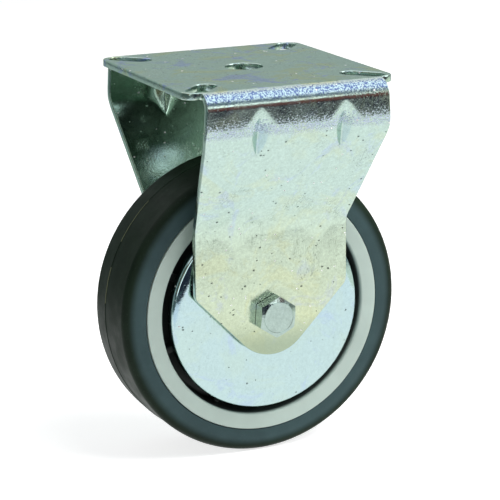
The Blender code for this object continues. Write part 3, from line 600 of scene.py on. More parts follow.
def lathe(corners, segments, step=math.radians(15)):
    """Spins an outline of (radius, place along the axle, corner radius) about the Y axis."""
    bm = bmesh.new()
    verts = [bm.verts.new((p.x, p.y, 0)) for p in rounded(corners, step)]
    pairs = list(zip(verts, verts[1:]))
    if corners[0][0] > 0 or corners[-1][0] > 0:
        pairs.append((verts[-1], verts[0]))
    edges = [bm.edges.new(pair) for pair in pairs]
    bmesh.ops.spin(bm, geom=verts + edges, cent=(0, 0, 0), axis=(0, 1, 0),
                   angle=FULL_TURN, steps=segments, use_merge=True)
    bmesh.ops.remove_doubles(bm, verts=bm.verts, dist=SAME_POINT)
    bmesh.ops.recalc_face_normals(bm, faces=bm.faces)
    return bm


def joined(*parts):
    """Puts several bmeshes into the first."""
    first, *rest = parts
    for bm in rest:
        spare = bpy.data.meshes.new("spare")
        bm.to_mesh(spare)
        bm.free()
        first.from_mesh(spare)
        bpy.data.meshes.remove(spare)
    return first


def at_axle(bm, side=1):
    """Lifts a piece made round the origin to the axle; side -1 is the near one, mirrored."""
    if side < 0:
        bmesh.ops.scale(bm, verts=bm.verts, vec=(1, -1, 1))
        bmesh.ops.reverse_faces(bm, faces=bm.faces)
    bmesh.ops.translate(bm, verts=bm.verts, vec=(0, 0, AXLE_Z))
    return bm


def piece(name, bm, mat, body, node):
    """Makes an object of a bmesh, lets it ride on a body and stand for a CAD node."""
    mesh = bpy.data.meshes.new(name)
    bm.to_mesh(mesh)
    bm.free()
    mesh.shade_smooth()
    mesh.set_sharp_from_angle(angle=SHARP_ANGLE)
    mesh.materials.append(mat)
    obj = bpy.data.objects.new(name, mesh)
    bpy.context.scene.collection.objects.link(obj)
    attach(obj, body)
    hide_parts(node)


def dress(node, mat):
    """Gives a CAD node a material and leaves its mesh as it is."""
    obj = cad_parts[node]
    obj.data.materials.clear()
    obj.data.materials.append(mat)


# Bracket

RIM_STEPS = 3


class SheetRun:
    """The sheet's middle surface from the plate's centre line to a leg's tip, seen along X."""

    def __init__(self, corners, radii):
        self.runs = []
        self.corner_s = []
        self.bends = []
        s = 0.0
        here = Vector(corners[0])
        for i, radius in enumerate(radii):
            corner = Vector(corners[i + 1])
            way_in = (corner - Vector(corners[i])).normalized()
            way_out = (Vector(corners[i + 2]) - corner).normalized()
            turn = -way_in.angle_signed(way_out)
            reach = radius * math.tan(abs(turn) / 2)
            start = corner - way_in * reach
            s = self.straight(s, here, start, way_in)
            arc = radius * abs(turn)
            self.runs.append((s, start, way_in, turn, radius))
            self.bends.append((s, s + arc, abs(turn)))
            self.corner_s.append(s + arc / 2)
            s += arc
            here = corner + way_out * reach
        last = Vector(corners[-1])
        self.length = self.straight(s, here, last, (last - here).normalized())

    def straight(self, s, start, stop, way):
        """Adds a straight run and gives back where it ends."""
        self.runs.append((s, start, way, 0.0, 0.0))
        return s + (stop - start).length

    def place(self, s, n):
        """(y, z) of the place at a distance s along the sheet and a height n above its middle."""
        s0, start, way, turn, radius = [run for run in self.runs if run[0] <= s + 1e-9][-1]
        normal = Vector((-way.y, way.x))
        if not turn:
            return start + way * (s - s0) + normal * n
        hand = math.copysign(1, turn)
        heading = Matrix.Rotation(hand * (s - s0) / radius, 2) @ way
        bent = Vector((-heading.y, heading.x))
        return start + normal * (radius * hand) - bent * (radius * hand - n)


class Crease:
    """A soft wedge pressed across a knee at x, cutting its corner from s0 to s1."""

    def __init__(self, run, x, s0, s1, half_width, line, softness):
        self.run, self.x, self.s0, self.s1, self.line, self.soft = run, x, s0, s1, line, softness
        self.start = run.place(s0, 0)
        self.way = (run.place(s1, 0) - self.start).normalized()
        self.deepest = max(abs(self.ridge(s0 + (s1 - s0) * k / 24)) for k in range(25))
        self.slope = self.deepest / half_width
        self.reach = half_width + 2 * softness

    def ridge(self, s):
        """How far the wedge's straight ridge lies below or above the sheet at s."""
        offset = self.run.place(s, 0) - self.start
        normal = self.run.place(s, 1) - self.run.place(s, 0)
        across = Vector((-self.way.y, self.way.x))
        return -offset.dot(across) / normal.dot(across)

    def height(self, x, s):
        """Offset of the sheet at (x, s), rounded along the ridge and along the borders."""
        if not self.s0 - self.reach < s < self.s1 + self.reach or abs(x - self.x) > 2 * self.reach:
            return 0.0
        top = self.ridge(min(max(s, self.s0), self.s1))
        hand = math.copysign(1, self.ridge((self.s0 + self.s1) / 2))
        aside = math.hypot(x - self.x, self.line) - self.line * 0.6
        past = max(self.s0 - s, s - self.s1, 0.0)
        rest = top * hand - self.slope * math.hypot(aside, past)
        k = self.soft * self.slope
        blend = max(k - abs(rest), 0.0) / k
        return hand * (max(rest, 0.0) + blend * blend * k / 4)


class Vee:
    """A sharp line pressed into the sheet at x, deepest at a third of it and with even walls."""

    def __init__(self, x, s0, s1, half_width, depth, line):
        self.x, self.s0, self.s1, self.line = x, s0, s1, line
        self.half, self.depth = half_width, depth

    def height(self, x, s):
        """Offset of the sheet at (x, s)."""
        if not self.s0 < s < self.s1:
            return 0.0
        part = (s - self.s0) / (self.s1 - self.s0)
        full = 2.6 * math.sqrt(part) * (1 - part) * self.depth
        aside = math.hypot(x - self.x, self.line) - self.line * 0.5
        return -max(full - aside * self.depth / self.half, 0.0)


def zone(s, stations):
    """Place along the sheet as 0 to 3 between four stations: both ends of the upper two bends."""
    for i, (start, stop) in enumerate(zip(stations, stations[1:])):
        if s < stop or i == len(stations) - 2:
            return i + (s - start) / (stop - start)


def leg_outline(c, run, bend_start):
    """Right-hand outline of the flat blank from the plate's centre line to the tip."""
    axle_s = run.length - c.tip_radius
    corner_s = axle_s - c.leg_corner_rise
    half = c.leg_width / 2
    reach = math.hypot(half, c.leg_corner_rise)
    normal = math.atan2(c.leg_corner_rise, half) - math.acos(c.tip_radius / reach)
    apex_s = axle_s - c.tip_radius / math.sin(normal)
    top, ear, ear_end = c.leg_top / 2, c.plate_length / 2, bend_start + c.ear_gap
    corners = [(ear, 0, 0), (ear, ear_end, c.ear_corner), (top, ear_end, c.ear_relief),
               (c.leg_knee / 2, run.corner_s[1], c.knee_rounding),
               (half, run.corner_s[2], c.knee_rounding), (half, corner_s, c.leg_corner),
               (0, apex_s, c.tip_radius), (-half, corner_s, 0)]
    points = rounded(corners, math.radians(5), closed=False)[1:-1]
    return [p for p in points if p.x > 0.01 * MM], axle_s


def slot_loop(x, y, half_length, radius, angle, count):
    """A round-ended slot, or a circle where half_length is 0."""
    way = Matrix.Rotation(angle, 2)
    loop = []
    for k in range(count):
        a = FULL_TURN * (k + 0.5) / count
        shift = math.copysign(half_length, math.cos(a)) if half_length else 0.0
        rim = Vector((radius * math.cos(a) + shift, radius * math.sin(a)))
        loop.append(Vector((x, y)) + way @ rim)
    return loop


def shifted(loop, distance):
    """A closed loop moved to its left, with its corners kept."""
    moved = []
    for i, p in enumerate(loop):
        before = (p - loop[i - 1]).normalized()
        after = (loop[(i + 1) % len(loop)] - p).normalized()
        way = Vector((-before.y - after.y, before.x + after.x))
        moved.append(p + way * (distance / (1 + before.dot(after))))
    return moved


def flat_blank(c, run, bend_start):
    """The pierced flat sheet with rounded rims, in (x, s, n)."""
    quarter, axle_s = leg_outline(c, run, bend_start)
    right = [Vector((p.x, -p.y)) for p in reversed(quarter)] + quarter
    holes = [slot_loop(0, 0, 0, c.hole_radius, 0, 64)]
    half_slot = (c.slot_length - c.slot_width) / 2
    slope = math.atan2(c.slot_y, c.slot_x)
    for x_side in (1, -1):
        for y_side in (1, -1):
            holes.append(slot_loop(x_side * c.slot_x, y_side * c.slot_y, half_slot,
                                   c.slot_width / 2, x_side * y_side * slope, 56))
    for y_side in (1, -1):
        holes.append(slot_loop(0, y_side * axle_s, 0, c.bore_radius, 0, 48))
    # Across the rim, from a flat border to the sheet's middle: how far inside, and how high
    turns = [math.pi / 2 * k / RIM_STEPS for k in range(RIM_STEPS + 1)]
    inner = c.sheet / 2 - c.edge_round
    rim = [(c.edge_round * (1 - math.cos(a)), inner + c.edge_round * math.sin(a)) for a in turns]
    rim.append((c.edge_round * 1.12, c.sheet / 2))
    rim = [(inset, -n) for inset, n in reversed(rim)] + rim
    bm = bmesh.new()
    stacks = []
    for loop in [right + [-p for p in right]] + [hole[::-1] for hole in holes]:
        stacks.append([[bm.verts.new((*p, n)) for p in shifted(loop, inset)] for inset, n in rim])
    for level in (0, -1):
        edges = [bm.edges.new((ring[i - 1], ring[i])) for ring in [stack[level] for stack in stacks]
                 for i in range(len(ring))]
        bmesh.ops.triangle_fill(bm, edges=edges, use_beauty=True, use_dissolve=False,
                                normal=(0, 0, 1))
    for stack in stacks:
        for low_ring, high_ring in zip(stack, stack[1:]):
            for i in range(len(low_ring)):
                bm.faces.new((low_ring[i - 1], low_ring[i], high_ring[i], high_ring[i - 1]))
    bmesh.ops.recalc_face_normals(bm, faces=bm.faces)
    return bm


def rows(start, stop, step):
    """Evenly spaced places from start to stop, at most a step apart."""
    count = max(1, math.ceil((stop - start) / step))
    return [start + (stop - start) * k / count for k in range(count + 1)]


def folded_bracket(c):
    """Folds the flat blank along its run and presses the darts and ribs into it."""
    plate_z = c.top_z - c.sheet / 2
    upper_y = c.width / 2 - c.sheet / 2
    lower_y = c.leg_gap / 2 + c.sheet / 2
    run = SheetRun([(0, plate_z), (upper_y, plate_z), (upper_y, plate_z - c.upper_drop),
                    (lower_y, AXLE_Z + c.lower_rise), (lower_y, AXLE_Z - c.tip_radius)],
                   (c.plate_bend, c.upper_bend, c.lower_bend))
    _, upper, lower = run.corner_s
    creases = []
    for x in (c.dart_shift - c.dart_spacing / 2, c.dart_shift + c.dart_spacing / 2):
        creases.append(Crease(run, x, upper - c.dart_up, upper + c.dart_down,
                              c.dart_half, c.dart_line, c.press_soft))
        creases.append(Vee(x, upper - c.vee_up, upper + c.vee_down,
                           c.vee_half, c.vee_depth, c.vee_line))
        creases.append(Crease(run, x, lower - c.rib_up, lower + c.rib_down,
                              c.rib_half, c.rib_line, c.press_soft))
    bm = flat_blank(c, run, run.bends[0][0])
    s_cuts = set()
    for start, stop, turn in run.bends:
        s_cuts.update(rows(start, stop, (stop - start) * c.bend_step / turn))
    for crease in creases:
        s_cuts.update(rows(crease.s0 - c.press_soft, crease.s1 + c.press_soft, c.dart_step))
    for s in sorted(s_cuts):
        for side in (1, -1):
            bmesh.ops.bisect_plane(bm, geom=bm.verts[:] + bm.edges[:] + bm.faces[:],
                                   dist=CUT_POINT, plane_co=(0, side * s, 0), plane_no=(0, 1, 0))
    x_cuts = set()
    reach = c.dart_half + 2 * c.press_soft
    for x in {crease.x for crease in creases}:
        x_cuts.update(rows(x - reach, x + reach, c.dart_step))
        x_cuts.update(x + c.vee_line * k for k in (-2, -1, 0, 1, 2))
    past_plate = run.bends[0][0] - 0.01 * MM
    for x in sorted(x_cuts):
        legs = [face for face in bm.faces if min(abs(v.co.y) for v in face.verts) > past_plate]
        edges = dict.fromkeys(edge for face in legs for edge in face.edges)
        verts = dict.fromkeys(vert for face in legs for vert in face.verts)
        bmesh.ops.bisect_plane(bm, geom=[*verts, *edges, *legs], dist=CUT_POINT,
                               plane_co=(x, 0, 0), plane_no=(1, 0, 0))
    depth = bm.verts.layers.float.new("sheet_depth")
    place = bm.verts.layers.float.new("sheet_zone")
    stations = [*run.bends[0][:2], *run.bends[1][:2]]
    for v in bm.verts:
        x, s, n = v.co
        v[depth] = n / c.sheet + 0.5
        v[place] = zone(abs(s), stations)
        shift = sum(crease.height(x, abs(s)) for crease in creases)
        y, z = run.place(abs(s), n + shift)
        v.co = (x, math.copysign(y, s), z)
    bmesh.ops.recalc_face_normals(bm, faces=bm.faces)
    return bm


class CASTOR_OT_bracket(bpy.types.Operator):
    """Makes the folded bracket with its slots, darts and ribs."""
    bl_idname = "castor.bracket"
    bl_label = "Bracket"

    def execute(self, context):
        c = context.scene.castor_bracket
        s = context.scene.castor_finish
        mat = zinc("bracket_zinc", s.zinc, s.zinc_warm, s, bloom=1.6, folded=True)
        piece("bracket_sheet", folded_bracket(c), mat, "fork", "bracket")
        return {"FINISHED"}


# Wheel

class CASTOR_OT_tyre(bpy.types.Operator):
    """Makes the rubber tyre with its mould seam."""
    bl_idname = "castor.tyre"
    bl_label = "Tyre"

    def execute(self, context):
        w = context.scene.castor_wheel
        face = w.rim_width / 2 - w.side_inset
        shoulder_r = w.radius - w.tread_crown
        bed = w.rim_radius - w.groove + w.seat
        inside = w.rim_width / 2 - w.flange - w.seat
        side_r = w.rim_radius + w.seat
        half = w.tread_width / 2
        middle_r = (side_r + shoulder_r) / 2
        middle = (face + half) / 2 + w.side_bulge
        seam_r = w.radius - w.seam_height
        lip, bow, fine = 0.35 * MM, 20 * MM, 0.1 * MM
        corners = [(side_r, face, lip), (middle_r, middle, bow), (shoulder_r, half, w.shoulder),
                   (seam_r, w.seam_offset + w.seam_width / 2, fine),
                   (w.radius, w.seam_offset, fine),
                   (seam_r, w.seam_offset - w.seam_width / 2, fine),
                   (shoulder_r, -half, w.shoulder), (middle_r, -middle, bow), (side_r, -face, lip),
                   (side_r, -inside, 0), (bed, -inside, 0), (bed, inside, 0), (side_r, inside, 0)]
        bm = at_axle(lathe(corners, w.segments, math.radians(9)))
        mat = rubber(context.scene.castor_finish, w.radius, w.seam_offset)
        piece("tyre_skin", bm, mat, "wheel", "tyre")
        return {"FINISHED"}


def wheel_ribs(w):
    """Radial ribs on both sides of the web, sunk into the hub and the rim."""
    sunk = w.hub_wall / 2
    inner = w.hub_bore + w.hub_wall - sunk
    outer = w.rim_radius - w.ring_width - w.draft + sunk
    height = w.rim_width - 2 * w.rib_setback
    bm = bmesh.new()
    for i in range(w.rib_count):
        size = Matrix.Diagonal((outer - inner, height, w.rib_thickness, 1))
        place = Matrix.Translation(((outer + inner) / 2, 0, 0))
        turn = Matrix.Rotation(FULL_TURN * (i + 0.5) / w.rib_count, 4, "Y")
        bmesh.ops.create_cube(bm, size=1, matrix=turn @ place @ size)
    bmesh.ops.bevel(bm, geom=bm.edges[:], offset=w.rib_round, offset_type="OFFSET", segments=2,
                    **EVEN_BEVEL)
    return bm


class CASTOR_OT_wheel_centre(bpy.types.Operator):
    """Makes the plastic centre: rim, web, ribs and hub."""
    bl_idname = "castor.wheel_centre"
    bl_label = "Wheel centre"

    def execute(self, context):
        w = context.scene.castor_wheel
        s = context.scene.castor_finish
        rim = w.rim_width / 2
        bed = w.rim_radius - w.groove
        flange_in = rim - w.flange
        web = w.web / 2
        pocket = w.rim_radius - w.ring_width
        hub_face = -low("near_bearing_inner_ring", "y")
        stop = hub_face - span("near_bearing_inner_ring", "y") - w.seat
        hub = w.hub_bore + w.hub_wall
        fine, edge = 0.3 * MM, 0.5 * MM
        half = [(bed, flange_in, 0), (w.rim_radius, flange_in, 0), (w.rim_radius, rim, fine),
                (pocket, rim, w.ring_edge), (pocket - w.draft, web, w.web_fillet),
                (hub, web, w.web_fillet), (hub, hub_face, edge), (w.hub_bore, hub_face, fine),
                (w.hub_bore, stop, 0), (w.hub_bore - w.hub_shoulder, stop, 0)]
        corners = half + [(r, -y, radius) for r, y, radius in reversed(half)]
        bm = at_axle(joined(lathe(corners, w.segments), wheel_ribs(w)))
        mat = moulded("wheel_plastic", s.plastic, 0.34, 0.46, shade_depth=rim - 0.6 * MM)
        piece("wheel_moulding", bm, mat, "wheel", "wheel_centre")
        return {"FINISHED"}


class CASTOR_OT_thread_guards(bpy.types.Operator):
    """Makes the two pressed thread guards."""
    bl_idname = "castor.thread_guards"
    bl_label = "Thread guards"

    def execute(self, context):
        g = context.scene.castor_guard
        a = context.scene.castor_axle
        s = context.scene.castor_finish
        centre = g.face - g.dish
        slope_end = g.dish_radius + g.dish
        inside = g.radius - g.sheet
        back = g.face - g.sheet
        lip_end = g.face - g.depth
        slope_fall = g.slope_width * math.tan(math.pi / 6)
        fine, lip, inner_bend = 0.1 * MM, 0.25 * MM, 0.6 * MM
        corners = [(a.bore_radius, centre, fine), (g.dish_radius, centre, g.dish_round),
                   (slope_end, g.face, g.dish_round),
                   (g.radius - g.slope_width, g.face, g.slope_round),
                   (g.radius, g.face - slope_fall, g.edge_round),
                   (g.radius, lip_end, lip), (inside, lip_end, lip),
                   (inside, back, g.shoulder), (slope_end, back, inner_bend),
                   (g.dish_radius, centre - g.sheet, inner_bend),
                   (a.bore_radius, centre - g.sheet, fine)]
        segments = context.scene.castor_wheel.segments
        mat = zinc("guard_zinc", s.guard, s.zinc, s, bloom=1.5, scratch=0.3, grain=0.5, shine=0.10)
        for name, side in (("near", -1), ("far", 1)):
            bm = at_axle(lathe(corners, segments, math.radians(11)), side)
            piece(name + "_guard_disc", bm, mat, "fork", name + "_thread_guard")
        return {"FINISHED"}


# Axle

THREAD_STEPS = 48


def hexagon(bm, across_flats, turn):
    """Trims a turned blank to six flats and closes the cut faces."""
    for i in range(6):
        flat = turn + FULL_TURN * (i + 0.5) / 6
        way = Vector((math.sin(flat), 0, math.cos(flat)))
        cut = bmesh.ops.bisect_plane(bm, geom=bm.verts[:] + bm.edges[:] + bm.faces[:],
                                     dist=FINE_POINT, plane_co=way * across_flats / 2,
                                     plane_no=way, clear_outer=True)
        rim = [e for e in cut["geom_cut"] if isinstance(e, bmesh.types.BMEdge)]
        bmesh.ops.contextual_create(bm, geom=rim)
    return bm


def thread(radius, depth, pitch, start, stop):
    """A screw thread: a ridge wound round a core."""
    turns = (stop - start) / pitch
    core = radius - depth
    foot, crest = pitch / 2 - 0.02 * MM, pitch * 0.08
    bm = bmesh.new()
    ridge = [(core - OVERLAP, -pitch / 2), (core, -foot), (radius, -crest),
             (radius, crest), (core, foot), (core - OVERLAP, pitch / 2)]
    verts = [bm.verts.new((r, start + y, 0)) for r, y in ridge]
    section = bm.faces.new(verts)
    bmesh.ops.spin(bm, geom=[section, *section.edges, *verts], cent=(0, 0, 0), axis=(0, 1, 0),
                   dvec=(0, pitch / THREAD_STEPS, 0), angle=FULL_TURN * turns,
                   steps=round(turns * THREAD_STEPS))
    bmesh.ops.recalc_face_normals(bm, faces=bm.faces)
    return bm


def hex_ends(a):
    """Radius of a hexagon's round end face and of its corners, and the fall between them."""
    face = a.across_flats / 2 - a.chamfer
    corner = a.across_flats / 2 / math.cos(math.pi / 6) + 0.2 * MM
    return face, corner, a.chamfer_rise * (corner - face) / a.chamfer


def bolt(a, under):
    """The bolt: its head down to a place under it, its shank and its threaded end."""
    face, corner, rise = hex_ends(a)
    top, groove = a.head_top, a.face_groove
    head = lathe([(0, top, 0), (face - 2 * groove, top, 0), (face - groove, top + groove, 0),
                  (face, top, 0), (corner, top + rise, 0), (corner, under, 0), (0, under, 0)],
                 a.segments)
    head = hexagon(head, a.across_flats, a.head_turn)
    plain, end = low("lock_nut", "y"), high("axle_bolt", "y")
    shank = lathe([(0, under - OVERLAP, 0), (a.bolt_radius, under - OVERLAP, 0),
                   (a.bolt_radius, plain, 0), (0, plain, 0)], a.segments)
    core = a.bolt_radius - a.thread_depth
    tip = lathe([(0, plain - OVERLAP, 0), (core, plain - OVERLAP, 0), (core, end - 0.5 * MM, 0),
                 (core - 0.4 * MM, end, 0), (0, end, 0)], a.segments)
    screw = thread(a.bolt_radius, a.thread_depth, a.thread_pitch, plain + a.thread_pitch / 2,
                   end - a.thread_pitch * 0.75)
    return joined(head, shank, tip, screw)


def lock_nut(a, collar, pocket):
    """The nut: a hexagon and a crimped collar with a pocket for its ring."""
    face, corner, rise = hex_ends(a)
    base, end = low("lock_nut", "y"), high("lock_nut", "y")
    hex_top = base + a.nut_hex
    lip = end - a.collar_lip
    mouth = pocket - (pocket - a.bore_radius) / 4
    body = lathe([(a.bore_radius, base, 0.3 * MM), (face, base, 0), (corner, base + rise, 0),
                  (corner, hex_top - rise, 0), (collar, hex_top, 0.3 * MM),
                  (collar, lip, 0.5 * MM), (collar - a.collar_lip, end, 0.3 * MM),
                  (mouth, end, 0.2 * MM), (mouth, lip, 0), (pocket, lip, 0),
                  (pocket, hex_top, 0), (a.bore_radius, hex_top, 0)], a.segments)
    return hexagon(body, a.across_flats, a.nut_turn)


def tube(node, bore, outer, rounds, segments):
    """A ring as long as a node; rounds are for the bore's start and stop, then outside."""
    start, stop = low(node, "y"), high(node, "y")
    return lathe([(bore, start, rounds[0]), (bore, stop, rounds[1]),
                  (outer, stop, rounds[2]), (outer, start, rounds[3])], segments)


class CASTOR_OT_axle(bpy.types.Operator):
    """Makes the bolt, the lock nut with its nylon ring, and the spacers."""
    bl_idname = "castor.axle"
    bl_label = "Axle"

    def execute(self, context):
        a = context.scene.castor_axle
        b = context.scene.castor_bracket
        s = context.scene.castor_finish
        mat = zinc("fastener_zinc", s.fastener, s.zinc_warm, s, bloom=0.4, scratch=0.25)
        under = -(b.leg_gap / 2 + b.sheet + CLAMP_GAP)
        piece("axle_screw", at_axle(bolt(a, under)), mat, "fork", "axle_bolt")
        collar = a.across_flats / 2 - a.collar_step
        pocket = collar - a.collar_wall
        body = at_axle(lock_nut(a, collar, pocket))
        piece("nut_body", body, mat, "fork", "lock_nut")
        ring = tube("nut_nylon_ring", a.bore_radius, pocket - 0.15 * MM,
                    (0, 0.4 * MM, 0.2 * MM, 0), a.segments)
        nylon = moulded("ring_nylon", s.nylon_ring, 0.35, 0.5)
        piece("nut_ring", at_axle(ring), nylon, "fork", "nut_nylon_ring")
        for name in ("near_spacer", "far_spacer"):
            spacer = tube(name, a.bore_radius, high(name, "x"),
                          (0.2 * MM, 0.2 * MM, 0.3 * MM, 0.3 * MM), a.segments)
            piece(name + "_tube", at_axle(spacer), mat, "fork", name)
        dress("axle_sleeve", mat)
        return {"FINISHED"}


def outer_ring(node, b, steel):
    """A bearing's outer ring with its groove and the steps that hold the shields."""
    start, stop, outer = low(node, "y"), high(node, "y"), high(node, "x")
    middle = (start + stop) / 2
    shoulder = b.pitch + b.groove - b.race_depth
    opened = shoulder + b.shield_grip
    low_seat, high_seat = middle - b.shield_seat, middle + b.shield_seat
    widest = math.acos(1 - b.race_depth / b.groove)
    race = []
    for k in range(b.race_steps + 1):
        a = widest * (1 - 2 * k / b.race_steps)
        race.append((b.pitch + b.groove * math.cos(a), middle + b.groove * math.sin(a), 0))
    outline = [(outer, start, 0.3 * MM), (outer, stop, 0.3 * MM), (opened, stop, 0),
               (opened, high_seat, 0), (shoulder, high_seat, 0), *race, (shoulder, low_seat, 0),
               (opened, low_seat, 0), (opened, start, 0)]
    bm = at_axle(lathe(outline, b.segments))
    piece(node + "_race", bm, steel, "wheel", node)


class CASTOR_OT_bearings(bpy.types.Operator):
    """Makes the bearings' outer rings and gives all their pieces steel and nylon."""
    bl_idname = "castor.bearings"
    bl_label = "Bearings"

    def execute(self, context):
        s = context.scene.castor_finish
        steel = ground_steel("bearing_steel", s.bearing, 0.14)
        shield = ground_steel("shield_steel", toned(s.bearing, 1.15), 0.22)
        ball = ground_steel("ball_steel", s.bearing, 0.06)
        cage = moulded("cage_nylon", s.cage, 0.4, 0.55)
        for side in ("near", "far"):
            dress(side + "_bearing_inner_ring", steel)
            outer_ring(side + "_bearing_outer_ring", context.scene.castor_bearings, steel)
            for part in ("outer_shield", "inner_shield"):
                dress(f"{side}_bearing_{part}", shield)
            dress(side + "_ball_cage", cage)
            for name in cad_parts:
                if name.startswith(side + "_ball_") and name != side + "_ball_cage":
                    dress(name, ball)
        return {"FINISHED"}


# Studio

def background_rays(tree):
    """1 for the rays that show the background: the camera's, and those of metal and glass."""
    path = tree.nodes.new("ShaderNodeLightPath")
    total = path.outputs["Is Camera Ray"]
    for name in ("Is Glossy Ray", "Is Transmission Ray"):
        node = tree.nodes.new("ShaderNodeMath")
        node.operation = "MAXIMUM"
        tree.links.new(total, node.inputs[0])
        tree.links.new(path.outputs[name], node.inputs[1])
        total = node.outputs[0]
    return total


def floor_material(colour, glow):
    """Pale floor that takes the shadow and looks white to the camera."""
    f = Finish("studio_floor")
    f.set(Base_Color=colour, Roughness=0.9, Emission_Color=(1, 1, 1))
    return f.set(Emission_Strength=f.times(background_rays(f.tree), glow))


def card_material(name, colour):
    """A card that only the reflections see, at an even level."""
    f = Finish(name)
    return f.set(Base_Color=(0, 0, 0), Specular_IOR_Level=0.0, Emission_Color=colour,
                 Emission_Strength=1.0)


def level(xs, ys, z):
    """The corners of a level sheet between two places along X and two along Y."""
    return [(xs[0], ys[0], z), (xs[1], ys[0], z), (xs[1], ys[1], z), (xs[0], ys[1], z)]


def sheet(name, corners, mat):
    """A flat stage piece over four corners."""
    bm = bmesh.new()
    bm.faces.new([bm.verts.new(corner) for corner in corners])
    mesh = bpy.data.meshes.new(name)
    bm.to_mesh(mesh)
    bm.free()
    mesh.materials.append(mat)
    obj = bpy.data.objects.new(name, mesh)
    bpy.context.scene.collection.objects.link(obj)
    return obj


def flag(name, corners, colour):
    """A card that shades the reflections and nothing else."""
    obj = sheet(name, corners, card_material(name, colour))
    obj.visible_camera = False
    obj.visible_diffuse = False
    obj.visible_shadow = False
    obj.visible_transmission = False


def upright(name, start, stop, low_z, high_z, colour):
    """A flag that stands over a line on the floor."""
    flag(name, [(*start, low_z), (*stop, low_z), (*stop, high_z), (*start, high_z)], colour)


def add_lamp(name, place, target, size, power, tint):
    """A soft lamp at a place, facing a target."""
    data = bpy.data.lights.new(name, "AREA")
    data.shape = "RECTANGLE"
    data.size, data.size_y = size
    data.energy = power
    data.color = tint
    obj = bpy.data.objects.new(name, data)
    bpy.context.scene.collection.objects.link(obj)
    obj.location = place
    obj.rotation_mode = "QUATERNION"
    obj.rotation_quaternion = (Vector(place) - Vector(target)).to_track_quat("Z", "Y")


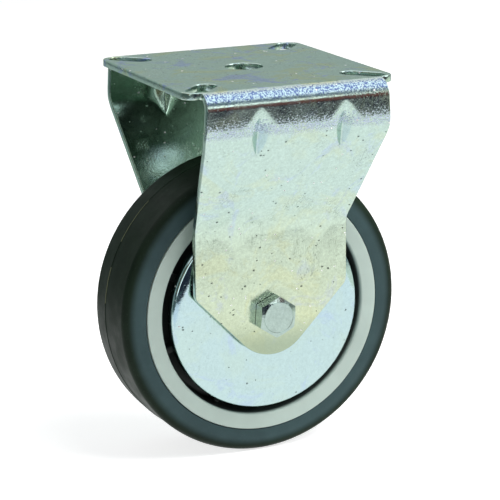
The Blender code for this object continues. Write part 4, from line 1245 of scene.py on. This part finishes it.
class CASTOR_OT_studio(bpy.types.Operator):
    """Makes the floor, the lamps, the surroundings and the camera."""
    bl_idname = "castor.studio"
    bl_label = "Studio"

    def execute(self, context):
        t = context.scene.castor_studio
        half = t.floor_size / 2
        sheet("floor", level((-half, half), (-half, half), 0),
              floor_material(t.floor_tone, t.floor_glow))
        self.cards(t)
        centre = (0, 0, AXLE_Z)
        add_lamp("camera_lamp", (-0.065, -1.14, 0.67), centre, (0.50, 0.20), t.camera_power,
                 (0.95, 0.98, 1.0))
        add_lamp("key_lamp", (0.45, -0.40, 1.1), centre, (0.8, 0.8), t.key_power, (1.0, 0.99, 0.97))
        for lamp in ("camera_lamp", "key_lamp"):
            bpy.data.objects[lamp].visible_glossy = False
        add_lamp("fill_lamp", (1.1, -0.6, 0.7), centre, (0.7, 0.7), t.fill_power, (0.96, 0.98, 1.0))
        self.surroundings(context, t)
        self.camera(context, t)
        context.scene.view_settings.view_transform = "Standard"
        return {"FINISHED"}

    def cards(self, t):
        """The room that the reflections show: its walls, its floor and the cloths on a table."""
        wide, front, back, side = 3.0, -2.4, 1.6, 1.8
        table_x = (-t.table_left, t.cloth_right)
        table_y = (-t.table_front, t.table_back)
        # Where the levels lie over one another, each is a millimetre or two higher
        floor_z, left_z, cloth_z = MM, 2 * MM, 3 * MM
        flag("dark_floor", level((-wide, wide), (front, table_y[0]), floor_z), t.dark)
        flag("grey_floor", level((-wide, wide), (table_y[1], back), floor_z), t.grey)
        flag("left_floor", level((-side, table_x[0]), (-wide, wide), left_z), t.left)
        flag("white_table", level(table_x, table_y, floor_z), t.table)
        flag("left_cloth", level((table_x[0], t.cloth_left), (table_y[0], -0.12), cloth_z),
             t.left_cloth)
        flag("right_cloth", level((t.cloth_right, wide), table_y, cloth_z), t.right_cloth)
        flag("ceiling", level((-0.7, 1.2), (-1.0, 0.3), 1.3), t.ceiling)
        upright("dark_front", (-wide, front), (0.0, front), 0.0, 2.0, t.dark)
        upright("dark_middle", (0.0, front), (t.rail_start, front), 0.0, t.rail_height, t.dark)
        upright("brown_rail", (t.rail_start, front), (wide, front), 0.0, t.rail_height, t.rail)
        upright("dim_wall", (0.0, front), (wide, front), t.rail_height, t.dim_height, t.dim)
        upright("grey_wall", (-wide, back), (wide, back), 0.0, t.grey_height, t.grey)
        upright("left_wall", (-side, -wide), (-side, wide), 0.0, t.left_height, t.left)
        upright("right_wall", (side, -wide), (side, wide), 0.0, t.right_height, t.right)
        # These three stand askew, each with its own corners
        flag("high_window", [(0.05, -1.15, 0.42), (0.62, -1.15, 0.54), (0.62, -1.15, 0.64),
                             (0.05, -1.15, 0.66)], t.high_window)
        flag("window", [(-1.04, -1.14, 0.1), (-1.24, -0.91, 0.16), (-0.53, -0.9, 1.19),
                        (-0.41, -1.13, 1.03)], t.window)
        flag("door", [(-1.28, -0.94, 0.16), (-1.52, -0.47, 0.22), (-0.69, -0.46, 1.42),
                      (-0.55, -0.93, 1.23)], t.door)

    def surroundings(self, context, t):
        """White for the rays that show the background, a plain room's light for the rest."""
        world = bpy.data.worlds.new("studio")
        context.scene.world = world
        world.use_nodes = True
        tree = world.node_tree
        tree.nodes.clear()
        white = tree.nodes.new("ShaderNodeBackground")
        white.inputs["Color"].default_value = (1, 1, 1, 1)
        room = tree.nodes.new("ShaderNodeBackground")
        room.inputs["Color"].default_value = (0.95, 0.98, 1.0, 1)
        room.inputs["Strength"].default_value = t.world_level
        pick = tree.nodes.new("ShaderNodeMixShader")
        out = tree.nodes.new("ShaderNodeOutputWorld")
        tree.links.new(background_rays(tree), pick.inputs["Fac"])
        tree.links.new(room.outputs[0], pick.inputs[1])
        tree.links.new(white.outputs[0], pick.inputs[2])
        tree.links.new(pick.outputs[0], out.inputs["Surface"])

    def camera(self, context, t):
        """The camera, turned round the wheel's middle and shifted aside and upwards."""
        right = Vector((math.cos(t.azimuth), math.sin(t.azimuth), 0))
        level_back = Vector((math.sin(t.azimuth), -math.cos(t.azimuth), 0))
        back = level_back * math.cos(t.elevation) + Vector((0, 0, math.sin(t.elevation)))
        up = back.cross(right)
        tilted = right * math.cos(t.roll) + up * math.sin(t.roll)
        upright = up * math.cos(t.roll) - right * math.sin(t.roll)
        data = bpy.data.cameras.new("camera")
        data.lens = t.lens
        camera = bpy.data.objects.new("camera", data)
        context.scene.collection.objects.link(camera)
        turn = Matrix((tilted, upright, back)).transposed()
        place = Vector((0, 0, AXLE_Z)) + back * t.distance + tilted * t.aside + upright * t.above
        camera.matrix_world = Matrix.Translation(place) @ turn.to_4x4()
        context.scene.camera = camera


class CASTOR_PT_panel(bpy.types.Panel):
    """Lists the castor's pieces in the sidebar."""
    bl_label = "Fixed Castor"
    bl_idname = "CASTOR_PT_panel"
    bl_space_type = "VIEW_3D"
    bl_region_type = "UI"
    bl_category = "Castor"

    def draw(self, context):
        for operator in OPERATORS:
            self.layout.operator(operator.bl_idname)


OPERATORS = (CASTOR_OT_bracket, CASTOR_OT_tyre, CASTOR_OT_wheel_centre, CASTOR_OT_thread_guards,
             CASTOR_OT_axle, CASTOR_OT_bearings, CASTOR_OT_studio)
SETTINGS = {"castor_bracket": CastorBracketSettings, "castor_wheel": CastorWheelSettings,
            "castor_guard": CastorGuardSettings, "castor_axle": CastorAxleSettings,
            "castor_bearings": CastorBearingSettings, "castor_finish": CastorFinishSettings,
            "castor_studio": CastorStudioSettings}


def register():
    for cls in (*SETTINGS.values(), *OPERATORS, CASTOR_PT_panel):
        bpy.utils.register_class(cls)
    for name, cls in SETTINGS.items():
        setattr(bpy.types.Scene, name, PointerProperty(type=cls))


def unregister():
    for name in SETTINGS:
        delattr(bpy.types.Scene, name)
    for cls in (CASTOR_PT_panel, *reversed(OPERATORS), *reversed(SETTINGS.values())):
        bpy.utils.unregister_class(cls)


def main():
    register()
    bpy.ops.castor.bracket()
    bpy.ops.castor.tyre()
    bpy.ops.castor.wheel_centre()
    bpy.ops.castor.thread_guards()
    bpy.ops.castor.axle()
    bpy.ops.castor.bearings()
    bpy.ops.castor.studio()


if __name__ == "__main__":
    main()
